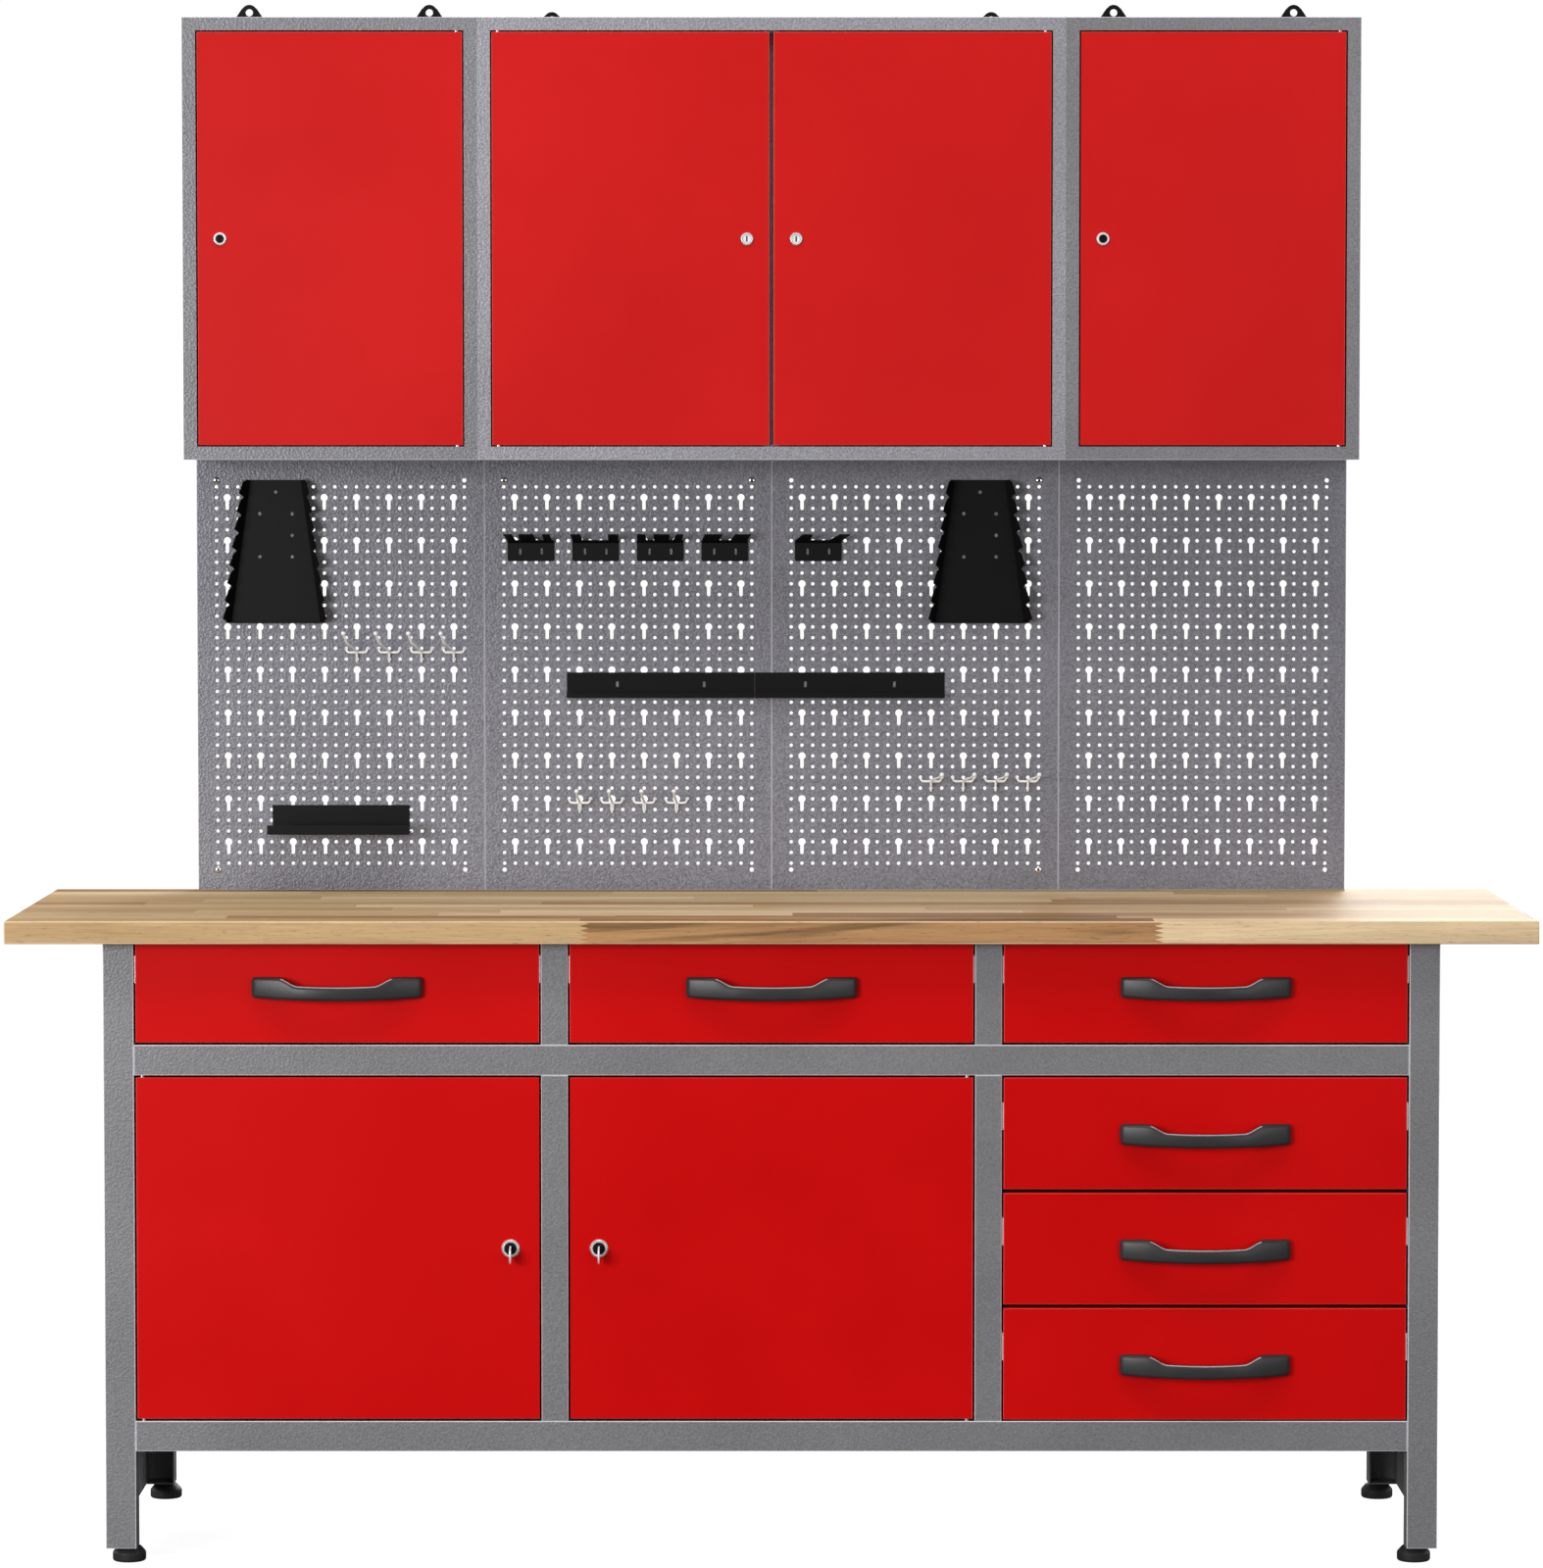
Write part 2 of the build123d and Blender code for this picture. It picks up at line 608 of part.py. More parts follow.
def keyhole_wire(x, z):
    """A round head with a narrower slot down to the next hole row."""
    shoulder = math.sqrt(KEY_HEAD_R**2 - PEG_R**2)

    def at(dx, dz):
        return Vector(x + dx, PANEL_FRONT_Y, z + dz)

    head = Edge.make_three_point_arc(at(PEG_R, -shoulder), at(0, KEY_HEAD_R), at(-PEG_R, -shoulder))
    left = Edge.make_line(at(-PEG_R, -shoulder), at(-PEG_R, -PEG_PITCH))
    foot = Edge.make_three_point_arc(
        at(-PEG_R, -PEG_PITCH), at(0, -PEG_PITCH - PEG_R), at(PEG_R, -PEG_PITCH))
    right = Edge.make_line(at(PEG_R, -PEG_PITCH), at(PEG_R, -shoulder))
    return Wire([head, left, foot, right])


def is_key(column, row):
    """True where a keyhole's head is."""
    return column % KEY_COLUMN_STEP == 1 and row % KEY_ROW_STEP == 1


def is_slot_end(column, row):
    """True where a keyhole's slot ends and takes the round hole's place."""
    return column % KEY_COLUMN_STEP == 1 and row % KEY_ROW_STEP == 2


def pegboard(panel):
    """A perforated sheet with four edges folded back to the wall."""
    middle_x = (panel - PANELS / 2 + 0.5) * PANEL_W
    middle_z = BENCH_H + PANEL_H / 2
    plane = Plane(origin=(middle_x, PANEL_FRONT_Y, middle_z), x_dir=(1, 0, 0), z_dir=(0, -1, 0))
    holes = []
    for column in range(PEG_COLUMNS):
        for row in range(PEG_ROWS):
            if is_key(column, row):
                holes.append(keyhole_wire(peg_x(panel, column), peg_z(row)))
            elif not is_slot_end(column, row):
                holes.append(circle_wire(peg_x(panel, column), peg_z(row), PEG_R))
    for dx in (-FIX_HOLE_X, FIX_HOLE_X):
        for dz in (-FIX_HOLE_Z, FIX_HOLE_Z):
            holes.append(circle_wire(middle_x + dx, middle_z + dz, FIX_HOLE_R))
    face = Face(Wire.make_rect(PANEL_W, PANEL_H, plane), holes)
    sheet = extrude(face, amount=SHEET, dir=(0, 1, 0))
    x = (middle_x - PANEL_W / 2, middle_x + PANEL_W / 2)
    z = (BENCH_H, BENCH_H + PANEL_H)
    y = (PANEL_FRONT_Y + SHEET, PANEL_BACK_Y)
    return [
        sheet,
        block(x, y, (z[0], z[0] + THIN)),
        block(x, y, (z[1] - THIN, z[1])),
        block((x[0], x[0] + THIN), y, (z[0] + THIN, z[1] - THIN)),
        block((x[1] - THIN, x[1]), y, (z[0] + THIN, z[1] - THIN)),
    ]


def panel_screws():
    """Pan-head screws in six of the panels' corner holes."""
    corners = ((0, -1, 1), (0, -1, -1), (1, -1, 1), (1, 1, 1), (2, 1, 1), (2, 1, -1))
    pieces = []
    for panel, side_x, side_z in corners:
        x = (panel - PANELS / 2 + 0.5) * PANEL_W + side_x * FIX_HOLE_X
        z = BENCH_H + PANEL_H / 2 + side_z * FIX_HOLE_Z
        head = round_bar((x, PANEL_FRONT_Y - 2.6, z), (x, PANEL_FRONT_Y, z), 5.0)
        head = fillet(head.edges().group_by(Axis.Y)[0], 1.6)
        shank = round_bar((x, PANEL_FRONT_Y, z), (x, PANEL_BACK_Y, z), 2.4)
        pieces.append(head + shank)
    return pieces


# ---- accessories on the panels ---------------------------------------------
def peg_tabs(x_list, row):
    """Small tabs that pass through a row of peg holes and hold an accessory."""
    z = peg_z(row)
    return [round_bar((x, ACCESSORY_Y, z), (x, PANEL_FRONT_Y + 6.0, z), TAB_R) for x in x_list]


def rack_flange(length, teeth, thickness):
    """A saw-toothed side flange, drawn in its own plane with its length along X."""
    pitch = length / teeth
    points = [(0, 0), (0, 17)]
    for tooth in range(teeth):
        low = tooth * pitch
        points.extend([(low + 2, 17), (low + 5, 30), (low + pitch - 4, 22), (low + pitch, 13)])
    points.append((length, 0))
    with BuildSketch() as profile:
        Polygon(*points, align=None)
    return extrude(profile.sketch, amount=thickness)


def spanner_rack(middle_x):
    """A tapering plate with splayed, toothed flanges for a set of spanners."""
    half_top, half_bottom = RACK_TOP_HALF, RACK_BOTTOM_HALF
    holes = ((0, 182), (-22.5, 152), (22.5, 152), (22.5, 122), (-22.5, 92), (22.5, 92))
    corners = ((-half_bottom, 0), (half_bottom, 0), (half_top, RACK_H), (-half_top, RACK_H))
    with BuildSketch(Plane.XZ) as outline:
        Polygon(*corners, align=None)
        with Locations(*holes):
            Circle(2.6, mode=Mode.SUBTRACT)
    rack = extrude(outline.sketch, amount=THIN)
    rack += block((-half_bottom, half_bottom), (-RACK_FOLD, -THIN), (0, THIN))
    lean = math.atan2(half_bottom - half_top, RACK_H)
    edge_length = math.hypot(half_bottom - half_top, RACK_H)
    for side in (-1, 1):
        plane = Plane(
            origin=(side * half_bottom, 0, 0),
            x_dir=(-side * math.sin(lean), 0, math.cos(lean)),
            z_dir=(math.cos(lean), 0, side * math.sin(lean)),
        )
        flange = Rot(X=side * RACK_SPLAY) * rack_flange(edge_length, RACK_TEETH, -side * THIN)
        rack += plane.location * flange
    placed = Pos(middle_x, ACCESSORY_Y, RACK_Z) * rack
    return [placed] + peg_tabs((middle_x - 1.5 * PEG_PITCH, middle_x + 1.5 * PEG_PITCH), 12)


def tool_clip(middle_x, prongs):
    """A small holder: a plate on the panel and prongs that reach forward and up."""
    half = CLIP_HALF
    low_z, high_z = CLIP_Z
    hole_x = PEG_PITCH
    with BuildSketch(Plane.XZ) as outline:
        with Locations((0, (low_z + high_z) / 2)):
            RectangleRounded(2 * half, high_z - low_z, 3)
        with Locations((-hole_x, peg_z(6)), (hole_x, peg_z(6))):
            SlotOverall(9, 3.4, rotation=90, mode=Mode.SUBTRACT)
    plate = extrude(outline.sketch, amount=THIN)
    with BuildSketch() as fork:
        Polygon((-half, 0), (half, 0), (half, -9), (-half, -9), align=None)
        for root, tip in prongs:
            Polygon((root[0], -8), (root[1], -8), (tip[1], -CLIP_REACH), (tip[0], -CLIP_REACH), align=None)
    arms = Rot(X=-CLIP_RISE) * extrude(fork.sketch, amount=THIN)
    clip = plate + Pos(0, -THIN + 0.6, high_z - THIN) * arms
    placed = Pos(middle_x, ACCESSORY_Y, 0) * clip
    return [placed] + peg_tabs((middle_x - PEG_PITCH / 2, middle_x + PEG_PITCH / 2), 6)


def tool_clips():
    """Five small holders, each with its own set of prongs."""
    clips = (
        (-335.0, (((-32, -21), (-37, -25)), ((-14, 8), (-16, 4)), ((18, 30), (17, 27)))),
        (-245.0, (((-32, -18), (-34, -20)), ((18, 32), (18, 33)))),
        (-155.0, (((-32, -19), (-32, -20)), ((-8, 12), (-9, 14)), ((18, 30), (23, 33)))),
        (-65.0, (((-32, -8), (-28, -3)), ((8, 30), (14, 37)))),
        (65.0, (((-32, -12), (-22, -8)), ((14, 32), (30, 44)))),
    )
    pieces = []
    for middle_x, prongs in clips:
        pieces.extend(tool_clip(middle_x, prongs))
    return pieces


def tool_strips():
    """Two long shallow strips, end to end across a panel joint."""
    back = ACCESSORY_Y
    low_z, high_z = STRIP_Z
    pieces = []
    for x in STRIPS_X:
        plate = block(x, (back - THIN, back), (low_z, high_z))
        ledge = block(x, (back - STRIP_D, back - THIN), (low_z, low_z + THIN))
        lip = block(x, (back - STRIP_D, back - STRIP_D + THIN), (low_z + THIN, low_z + STRIP_LIP))
        slot_z = (low_z + high_z) / 2 + 1
        for slot_x in (x[0] + STRIP_SLOT_IN, x[1] - STRIP_SLOT_IN):
            plate -= block((slot_x - 2, slot_x + 2), (back - 3, back + 1), (slot_z - 4, slot_z + 4))
        pieces.append(plate + ledge + lip)
    return pieces + peg_tabs((-267.5, -42.5, 27.5, 222.5), 18)


def small_shelf():
    """A narrow shelf: a back plate on the panel, a floor and a front lip."""
    back = ACCESSORY_Y
    front = back - SMALL_SHELF_D
    x = SMALL_SHELF_X
    lip_x = (x[0] - 3.0, x[1] + 3.0)
    floor_z = SMALL_SHELF_Z[0]
    shelf = block(x, (back - THIN, back), SMALL_SHELF_Z)
    shelf += block(lip_x, (front, back - THIN), (floor_z, floor_z + THIN))
    shelf += block(lip_x, (front, front + THIN), (floor_z + THIN, floor_z + SMALL_SHELF_LIP))
    return [shelf] + peg_tabs((-682.5, -517.5), 30)


def wire_hook(x, z, side_lean):
    """A wire hook: a crossbar with both ends in peg holes, a stem and a rising prong."""
    wire_r = HOOK_WIRE_R
    bar_y = ACCESSORY_Y - 2.2
    half = PEG_PITCH
    tip = (x + side_lean, bar_y - 44.0, z + 22.0)
    knee = (x + side_lean * 0.6, bar_y - 32.0, z + 4.0)
    foot = (x, bar_y - 1.0, z - 19.0)
    hook = round_bar((x - half, bar_y, z), (x + half, bar_y, z), wire_r)
    for side in (-1, 1):
        hook += round_bar((x + side * half, bar_y, z), (x + side * half, PANEL_FRONT_Y + 8.0, z), wire_r)
        hook += Pos(x + side * half, bar_y, z) * Sphere(wire_r)
    hook += round_bar((x, bar_y - 1.0, z), foot, wire_r)
    for start, end in ((foot, knee), (knee, tip)):
        hook += round_bar(start, end, wire_r)
        hook += Pos(*start) * Sphere(wire_r)
    hook += Pos(*tip) * Sphere(HOOK_BALL_R)
    return hook


def wire_hooks():
    """Three groups of four hooks: panel, hole row and how the prongs lean."""
    groups = ((0, 15, -14.0), (1, 29, -3.0), (2, 27, 9.0))
    pieces = []
    for panel, row, side_lean in groups:
        for column in (7, 10, 13, 16) if panel == 1 else (13, 16, 19, 22):
            pieces.append(wire_hook(peg_x(panel, column), peg_z(row), side_lean))
    return pieces


# ---- the whole part --------------------------------------------------------
os.makedirs("parts", exist_ok=True)

write("worktop", worktop())
write("side_panels", side_panels())
write("legs", legs())
write("front_rails", front_rail(MID_RAIL_Z) + front_rail(BOTTOM_RAIL_Z))
write("hidden_rails", hidden_rails())
write("divider_left", divider(0, True))
write("divider_right", divider(1, False))
write("back_panel", back_panel())
write("floor_panel", floor_panel())
write("bench_shelves", bench_shelves())
write("foot_glides", foot_glides())
write("fixed_runners", fixed_runners())
write("hinge_pins", hinge_pins())

for node, bay, z_range, shift in drawer_list():
    write(f"{node}_front", drawer_front(bay, z_range))
    write(f"{node}_tray", drawer_tray(bay, z_range))
    write(f"{node}_handle", handle(bay, z_range, shift))

for node, x_range, z_range, front_y, hinge, lock_sizes, with_key in door_list():
    write(node, door(x_range, z_range, front_y, hinge, lock_sizes))
    write(f"{node}_lock", lock_plug(x_range, z_range, front_y, hinge, lock_sizes, with_key))

for side, x_range in CABINET_X.items():
    write(f"cabinet_{side}_case", cabinet_case(x_range, side == "middle"))
write("cabinet_shelves", cabinet_shelves())
write("hanging_brackets", hanging_brackets())

for number in range(PANELS):
    write(f"pegboard_{number + 1}", pegboard(number))
write("panel_screws", panel_screws())
for side, middle_x in RACK_X.items():
    write(f"spanner_rack_{side}", spanner_rack(middle_x))
write("tool_clips", tool_clips())
write("tool_strips", tool_strips())
write("small_shelf", small_shelf())
write("wire_hooks", wire_hooks())
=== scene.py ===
import json
import math
import random

import bmesh
import bpy
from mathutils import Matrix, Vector


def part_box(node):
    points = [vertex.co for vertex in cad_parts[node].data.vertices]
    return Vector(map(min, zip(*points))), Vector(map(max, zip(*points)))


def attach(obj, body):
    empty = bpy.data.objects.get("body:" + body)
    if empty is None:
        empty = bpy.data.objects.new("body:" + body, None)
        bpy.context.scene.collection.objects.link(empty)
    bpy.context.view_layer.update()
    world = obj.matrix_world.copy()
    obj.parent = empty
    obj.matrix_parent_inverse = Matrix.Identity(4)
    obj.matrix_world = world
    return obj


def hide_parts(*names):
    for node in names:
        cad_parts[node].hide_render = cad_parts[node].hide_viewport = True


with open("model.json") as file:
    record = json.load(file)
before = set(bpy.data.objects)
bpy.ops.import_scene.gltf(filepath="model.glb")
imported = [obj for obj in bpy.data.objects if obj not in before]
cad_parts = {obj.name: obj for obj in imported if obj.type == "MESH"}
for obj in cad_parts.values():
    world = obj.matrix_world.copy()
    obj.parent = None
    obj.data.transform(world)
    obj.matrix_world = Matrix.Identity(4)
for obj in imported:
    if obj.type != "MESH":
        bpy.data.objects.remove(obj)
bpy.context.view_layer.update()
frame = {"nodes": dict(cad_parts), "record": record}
NODES = frame["nodes"]
BODY = {node: body for body, nodes in frame["record"]["behaviour"]["bodies"].items() for node in nodes}
MM = 0.001
RNG = random.Random(7)


# ---- camera, lights, surroundings ------------------------------------------
def make_camera():
    """A long lens in front of the middle, a little below the cabinets, tilted slightly down."""
    distance = 8.0
    height = 1.454
    tilt_down = 3.04
    worktop_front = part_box("worktop")[0].y
    data = bpy.data.cameras.new("camera")
    data.lens = 141.4
    data.sensor_width = 36.0
    data.clip_end = 60.0
    camera = bpy.data.objects.new("camera", data)
    camera.location = (0.0, worktop_front - distance, height)
    camera.rotation_euler = (math.radians(90.0 - tilt_down), 0.0, 0.0)
    bpy.context.scene.collection.objects.link(camera)
    bpy.context.scene.camera = camera


def area_light(name, place, aim, size, power):
    """A rectangular lamp of a given width and height, turned towards a point."""
    data = bpy.data.lights.new(name, "AREA")
    data.shape = "RECTANGLE"
    data.size, data.size_y = size
    data.energy = power
    light = bpy.data.objects.new(name, data)
    light.location = place
    light.rotation_euler = (Vector(aim) - Vector(place)).to_track_quat("-Z", "Y").to_euler()
    bpy.context.scene.collection.objects.link(light)


def emitter(name, base, glow):
    """A plain stage material: a diffuse colour and a glow, both grey."""
    material = bpy.data.materials.new(name)
    material.use_nodes = True
    shader = material.node_tree.nodes["Principled BSDF"]
    shader.inputs["Base Color"].default_value = (base, base, base, 1.0)
    shader.inputs["Roughness"].default_value = 0.9
    shader.inputs["Specular IOR Level"].default_value = 0.0
    shader.inputs["Emission Color"].default_value = (1.0, 1.0, 1.0, 1.0)
    shader.inputs["Emission Strength"].default_value = glow
    return material


def stage_piece(name, material, by_camera):
    """Names the object just added. The camera sees it, or else only the light does."""
    thing = bpy.context.object
    thing.name = name
    thing.data.materials.append(material)
    thing.visible_camera = by_camera
    thing.visible_diffuse = not by_camera
    thing.visible_glossy = not by_camera
    thing.visible_transmission = not by_camera
    thing.visible_shadow = not by_camera


def make_stage():
    """A white backdrop, a pale floor, a dark floor that only the light meets, and lamps."""
    world = bpy.data.worlds.new("studio")
    bpy.context.scene.world = world
    world.use_nodes = True
    background = world.node_tree.nodes["Background"]
    background.inputs["Color"].default_value = (1.0, 1.0, 1.0, 1.0)
    background.inputs["Strength"].default_value = 0.42
    bpy.ops.mesh.primitive_uv_sphere_add(segments=48, ring_count=24, radius=24.0, location=(0.0, 0.0, 1.0))
    stage_piece("studio_backdrop", emitter("backdrop_white", 0.0, 1.02), True)
    bpy.ops.mesh.primitive_plane_add(size=40.0, location=(0.0, 0.0, 0.0))
    stage_piece("studio_floor", emitter("floor_white", 0.32, 0.93), True)
    bpy.ops.mesh.primitive_plane_add(size=40.0, location=(0.0, 0.0, -0.001))
    stage_piece("studio_bounce", emitter("floor_dark", 0.07, 0.0), False)
    area_light("key", (-3.6, -5.0, 1.5), (0.0, 0.0, 1.1), (2.4, 1.8), 225.0)
    area_light("fill", (3.6, -5.2, 1.4), (0.0, 0.0, 1.1), (2.4, 1.8), 55.0)
    area_light("top", (0.0, -1.8, 4.2), (0.0, 0.1, 0.85), (3.0, 1.0), 52.0)
    area_light("back", (1.5, 5.0, 2.6), (0.0, 0.3, 1.0), (3.0, 2.0), 230.0)
    area_light("side_left", (-5.5, 1.6, 1.8), (-0.9, 0.2, 0.9), (2.0, 2.0), 75.0)
    area_light("side_right", (5.5, 1.6, 1.8), (0.9, 0.2, 0.9), (2.0, 2.0), 75.0)


# ---- material helpers ------------------------------------------------------
class Shade:
    """A material's node tree, built with short calls."""

    def __init__(self, name):
        self.material = bpy.data.materials.new(name)
        self.material.use_nodes = True
        self.tree = self.material.node_tree
        self.shader = self.tree.nodes["Principled BSDF"]
        self.place = self.add("ShaderNodeTexCoord").outputs["Object"]

    def add(self, kind):
        return self.tree.nodes.new(kind)

    def link(self, start, end):
        self.tree.links.new(start, end)

    def fixed(self, **values):
        """Plain numbers on the shader's own sockets."""
        for key, value in values.items():
            self.shader.inputs[key.replace("_", " ")].default_value = value

    def mapped(self, scale, source=None):
        node = self.add("ShaderNodeMapping")
        node.inputs["Scale"].default_value = scale
        self.link(source or self.place, node.inputs["Vector"])
        return node.outputs["Vector"]

    def noise(self, scale, detail=2.0, roughness=0.5, vector=None, distortion=0.0):
        node = self.add("ShaderNodeTexNoise")
        node.inputs["Scale"].default_value = scale
        node.inputs["Detail"].default_value = detail
        node.inputs["Roughness"].default_value = roughness
        node.inputs["Distortion"].default_value = distortion
        self.link(vector or self.place, node.inputs["Vector"])
        return node.outputs["Fac"]

    def cells(self, scale):
        node = self.add("ShaderNodeTexVoronoi")
        node.feature = "SMOOTH_F1"
        node.inputs["Scale"].default_value = scale
        node.inputs["Smoothness"].default_value = 0.7
        self.link(self.place, node.inputs["Vector"])
        return node.outputs["Distance"]

    def ramp(self, source, stops):
        """Colours or greys at positions along a 0 to 1 source."""
        node = self.add("ShaderNodeValToRGB")
        while len(node.color_ramp.elements) < len(stops):
            node.color_ramp.elements.new(0.5)
        for element, (position, colour) in zip(node.color_ramp.elements, stops):
            element.position = position
            shade = colour if isinstance(colour, tuple) else (colour, colour, colour)
            element.color = (*shade, 1.0)
        self.link(source, node.inputs["Fac"])
        return node.outputs["Color"]

    def mix(self, factor, first, second, blend="MIX"):
        node = self.add("ShaderNodeMix")
        node.data_type = "RGBA"
        node.blend_type = blend
        for socket, value in ((node.inputs[0], factor), (node.inputs[6], first), (node.inputs[7], second)):
            if isinstance(value, (int, float)):
                socket.default_value = value
            elif isinstance(value, tuple):
                socket.default_value = (*value, 1.0)
            else:
                self.link(value, socket)
        return node.outputs[2]

    def bump(self, height, strength, distance, normal=None):
        node = self.add("ShaderNodeBump")
        node.inputs["Strength"].default_value = strength
        node.inputs["Distance"].default_value = distance
        self.link(height, node.inputs["Height"])
        if normal is not None:
            self.link(normal, node.inputs["Normal"])
        return node.outputs["Normal"]

    def colour(self, output):
        self.link(output, self.shader.inputs["Base Color"])

    def roughness(self, output):
        self.link(output, self.shader.inputs["Roughness"])

    def normal(self, output):
        self.link(output, self.shader.inputs["Normal"])


def linear(red, green, blue):
    """A display colour of 0 to 255 as linear values."""
    values = []
    for channel in (red, green, blue):
        part = channel / 255.0
        values.append(part / 12.92 if part <= 0.04045 else ((part + 0.055) / 1.055) ** 2.4)
    return tuple(values)


def scaled(colour, factor):
    return tuple(min(1.0, channel * factor) for channel in colour)


def hammertone(name, colour, contrast, relief=0.45):
    """Grey hammered powder coat: small dimples with a dark and light mottle."""
    shade = Shade(name)
    dimples = shade.cells(300.0)
    grain = shade.noise(420.0, 3.0, 0.6)
    cloud = shade.noise(5.0, 2.0, 0.5)
    low, high = scaled(colour, 1.0 - contrast), scaled(colour, 1.0 + contrast)
    spots = shade.ramp(grain, ((0.3, low), (0.5, colour), (0.7, high)))
    drift = shade.ramp(cloud, ((0.3, 0.9), (0.7, 1.04)))
    shade.colour(shade.mix(1.0, spots, drift, "MULTIPLY"))
    shade.roughness(shade.ramp(grain, ((0.3, 0.3), (0.7, 0.5))))
    first = shade.bump(dimples, relief, 0.0012)
    shade.normal(shade.bump(grain, relief, 0.0006, first))
    shade.fixed(Metallic=0.2, Coat_Weight=0.15, Coat_Roughness=0.25)
    return shade.material


def smooth_paint(name, colour):
    """Smooth powder coat with a faint orange peel and slow changes of tone."""
    shade = Shade(name)
    peel = shade.noise(260.0, 2.0, 0.5)
    cloud = shade.noise(2.6, 3.0, 0.55)
    shade.colour(shade.ramp(cloud, ((0.3, scaled(colour, 0.93)), (0.7, scaled(colour, 1.04)))))
    shade.roughness(shade.ramp(cloud, ((0.3, 0.34), (0.7, 0.42))))
    shade.normal(shade.bump(peel, 0.05, 0.0004))
    shade.fixed(Specular_IOR_Level=0.12)
    return shade.material


def black_coat(name, colour, rough, gloss=0.3):
    """Black textured coat or moulded plastic: a fine grain that breaks up its shine."""
    shade = Shade(name)
    grain = shade.noise(700.0, 4.0, 0.6)
    dust = shade.noise(14.0, 3.0, 0.6)
    shade.colour(shade.ramp(dust, ((0.35, colour), (0.8, scaled(colour, 1.35)))))
    shade.roughness(shade.ramp(grain, ((0.3, rough - 0.06), (0.7, rough + 0.08))))
    shade.normal(shade.bump(grain, 0.12, 0.0003))
    shade.fixed(Specular_IOR_Level=gloss)
    return shade.material


def plated(name, colour, rough, spread, metal=1.0):
    """Zinc, nickel, chrome or bare steel, with cloudy patches and fine horizontal brush lines."""
    shade = Shade(name)
    cloud = shade.noise(60.0, 3.0, 0.6)
    brush = shade.noise(40.0, 3.0, 0.6, shade.mapped((1.0, 1.0, 14.0)))
    shade.colour(shade.ramp(cloud, ((0.3, scaled(colour, 0.86)), (0.7, colour))))
    shade.roughness(shade.ramp(brush, ((0.3, rough), (0.7, rough + spread))))
    shade.normal(shade.bump(brush, 0.03, 0.0003))
    shade.fixed(Metallic=metal)
    return shade.material


def beech(name, light, dark, streak):
    """Oiled beech: long grain, short dark flecks and, where streak is above 0, dark bands."""
    shade = Shade(name)
    place = shade.add("ShaderNodeUVMap").outputs["UV"]
    rings = shade.noise(3.2, 4.0, 0.55, shade.mapped((0.55, 9.0, 1.0), place), 0.6)
    fine = shade.noise(60.0, 3.0, 0.6, shade.mapped((0.22, 6.0, 1.0), place))
    flecks = shade.noise(150.0, 2.0, 0.5, shade.mapped((0.35, 2.4, 1.0), place))
    base = shade.ramp(rings, ((0.3, dark), (0.52, light), (0.72, scaled(light, 1.06))))
    veins = shade.ramp(fine, ((0.36, 0.86), (0.6, 1.0)))
    marks = shade.ramp(flecks, ((0.28, 0.72), (0.4, 1.0)))
    tone = shade.mix(1.0, shade.mix(1.0, base, veins, "MULTIPLY"), marks, "MULTIPLY")
    if streak:
        wide = shade.noise(1.4, 4.0, 0.6, shade.mapped((0.5, 12.0, 1.0), place), 1.2)
        dark_band = shade.ramp(wide, ((0.47, 1.0), (0.56, 0.34), (0.6, 0.5), (0.66, 1.0)))
        tone = shade.mix(streak, tone, shade.mix(1.0, tone, dark_band, "MULTIPLY"))
    shade.colour(tone)
    shade.roughness(shade.ramp(fine, ((0.3, 0.62), (0.7, 0.5))))
    shade.normal(shade.bump(fine, 0.08, 0.0004))
    shade.fixed(Specular_IOR_Level=0.05)
    return shade.material


FRAME_GREY = hammertone("frame_grey", linear(130, 130, 133), 0.14, 0.25)
CABINET_GREY = hammertone("cabinet_grey", linear(124, 123, 127), 0.3)
MIDDLE_GREY = hammertone("middle_cabinet_grey", linear(146, 145, 152), 0.34)
PANEL_GREY = hammertone("panel_grey", linear(121, 121, 130), 0.36)
# Light paints for rounded outlines: painted highlights where folded edges catch the light.
PANEL_EDGE_HIGHLIGHT = smooth_paint("panel_edge_highlight", linear(178, 178, 186))
GREY_EDGE_HIGHLIGHT = smooth_paint("grey_edge_highlight", linear(214, 214, 218))
RED_EDGE_HIGHLIGHT = smooth_paint("red_edge_highlight", linear(240, 62, 56))
BENCH_RED = smooth_paint("bench_red", linear(206, 3, 4))
CABINET_RED = smooth_paint("cabinet_red", linear(197, 22, 21))
HANDLE_BLACK = black_coat("handle_black", linear(46, 46, 47), 0.34)
# A light grey for the handles: a painted highlight along their upper front edge.
HANDLE_PAINTED_HIGHLIGHT = black_coat("handle_painted_highlight", linear(172, 172, 174), 0.3)
STEEL_BLACK = black_coat("steel_black", linear(9, 9, 10), 0.42, 0.16)
RUBBER_BLACK = black_coat("foot_black", linear(34, 34, 34), 0.55)
ZINC = plated("zinc", linear(200, 202, 206), 0.28, 0.14)
BRIGHT_ZINC = plated("bright_zinc", linear(244, 245, 248), 0.24, 0.12)
CHROME = plated("chrome", linear(246, 246, 248), 0.1, 0.08)
TAB_ZINC = smooth_paint("tab_zinc", linear(246, 247, 250))
WIRE_ZINC = plated("wire_zinc", linear(252, 252, 253), 0.22, 0.1, 0.1)
NICKEL = plated("nickel", linear(252, 252, 252), 0.2, 0.1, 0.3)
KEY_STEEL = plated("key_steel", linear(250, 250, 250), 0.3, 0.1, 0.25)
TRAY_STEEL = plated("tray_steel", linear(176, 178, 181), 0.34, 0.16)

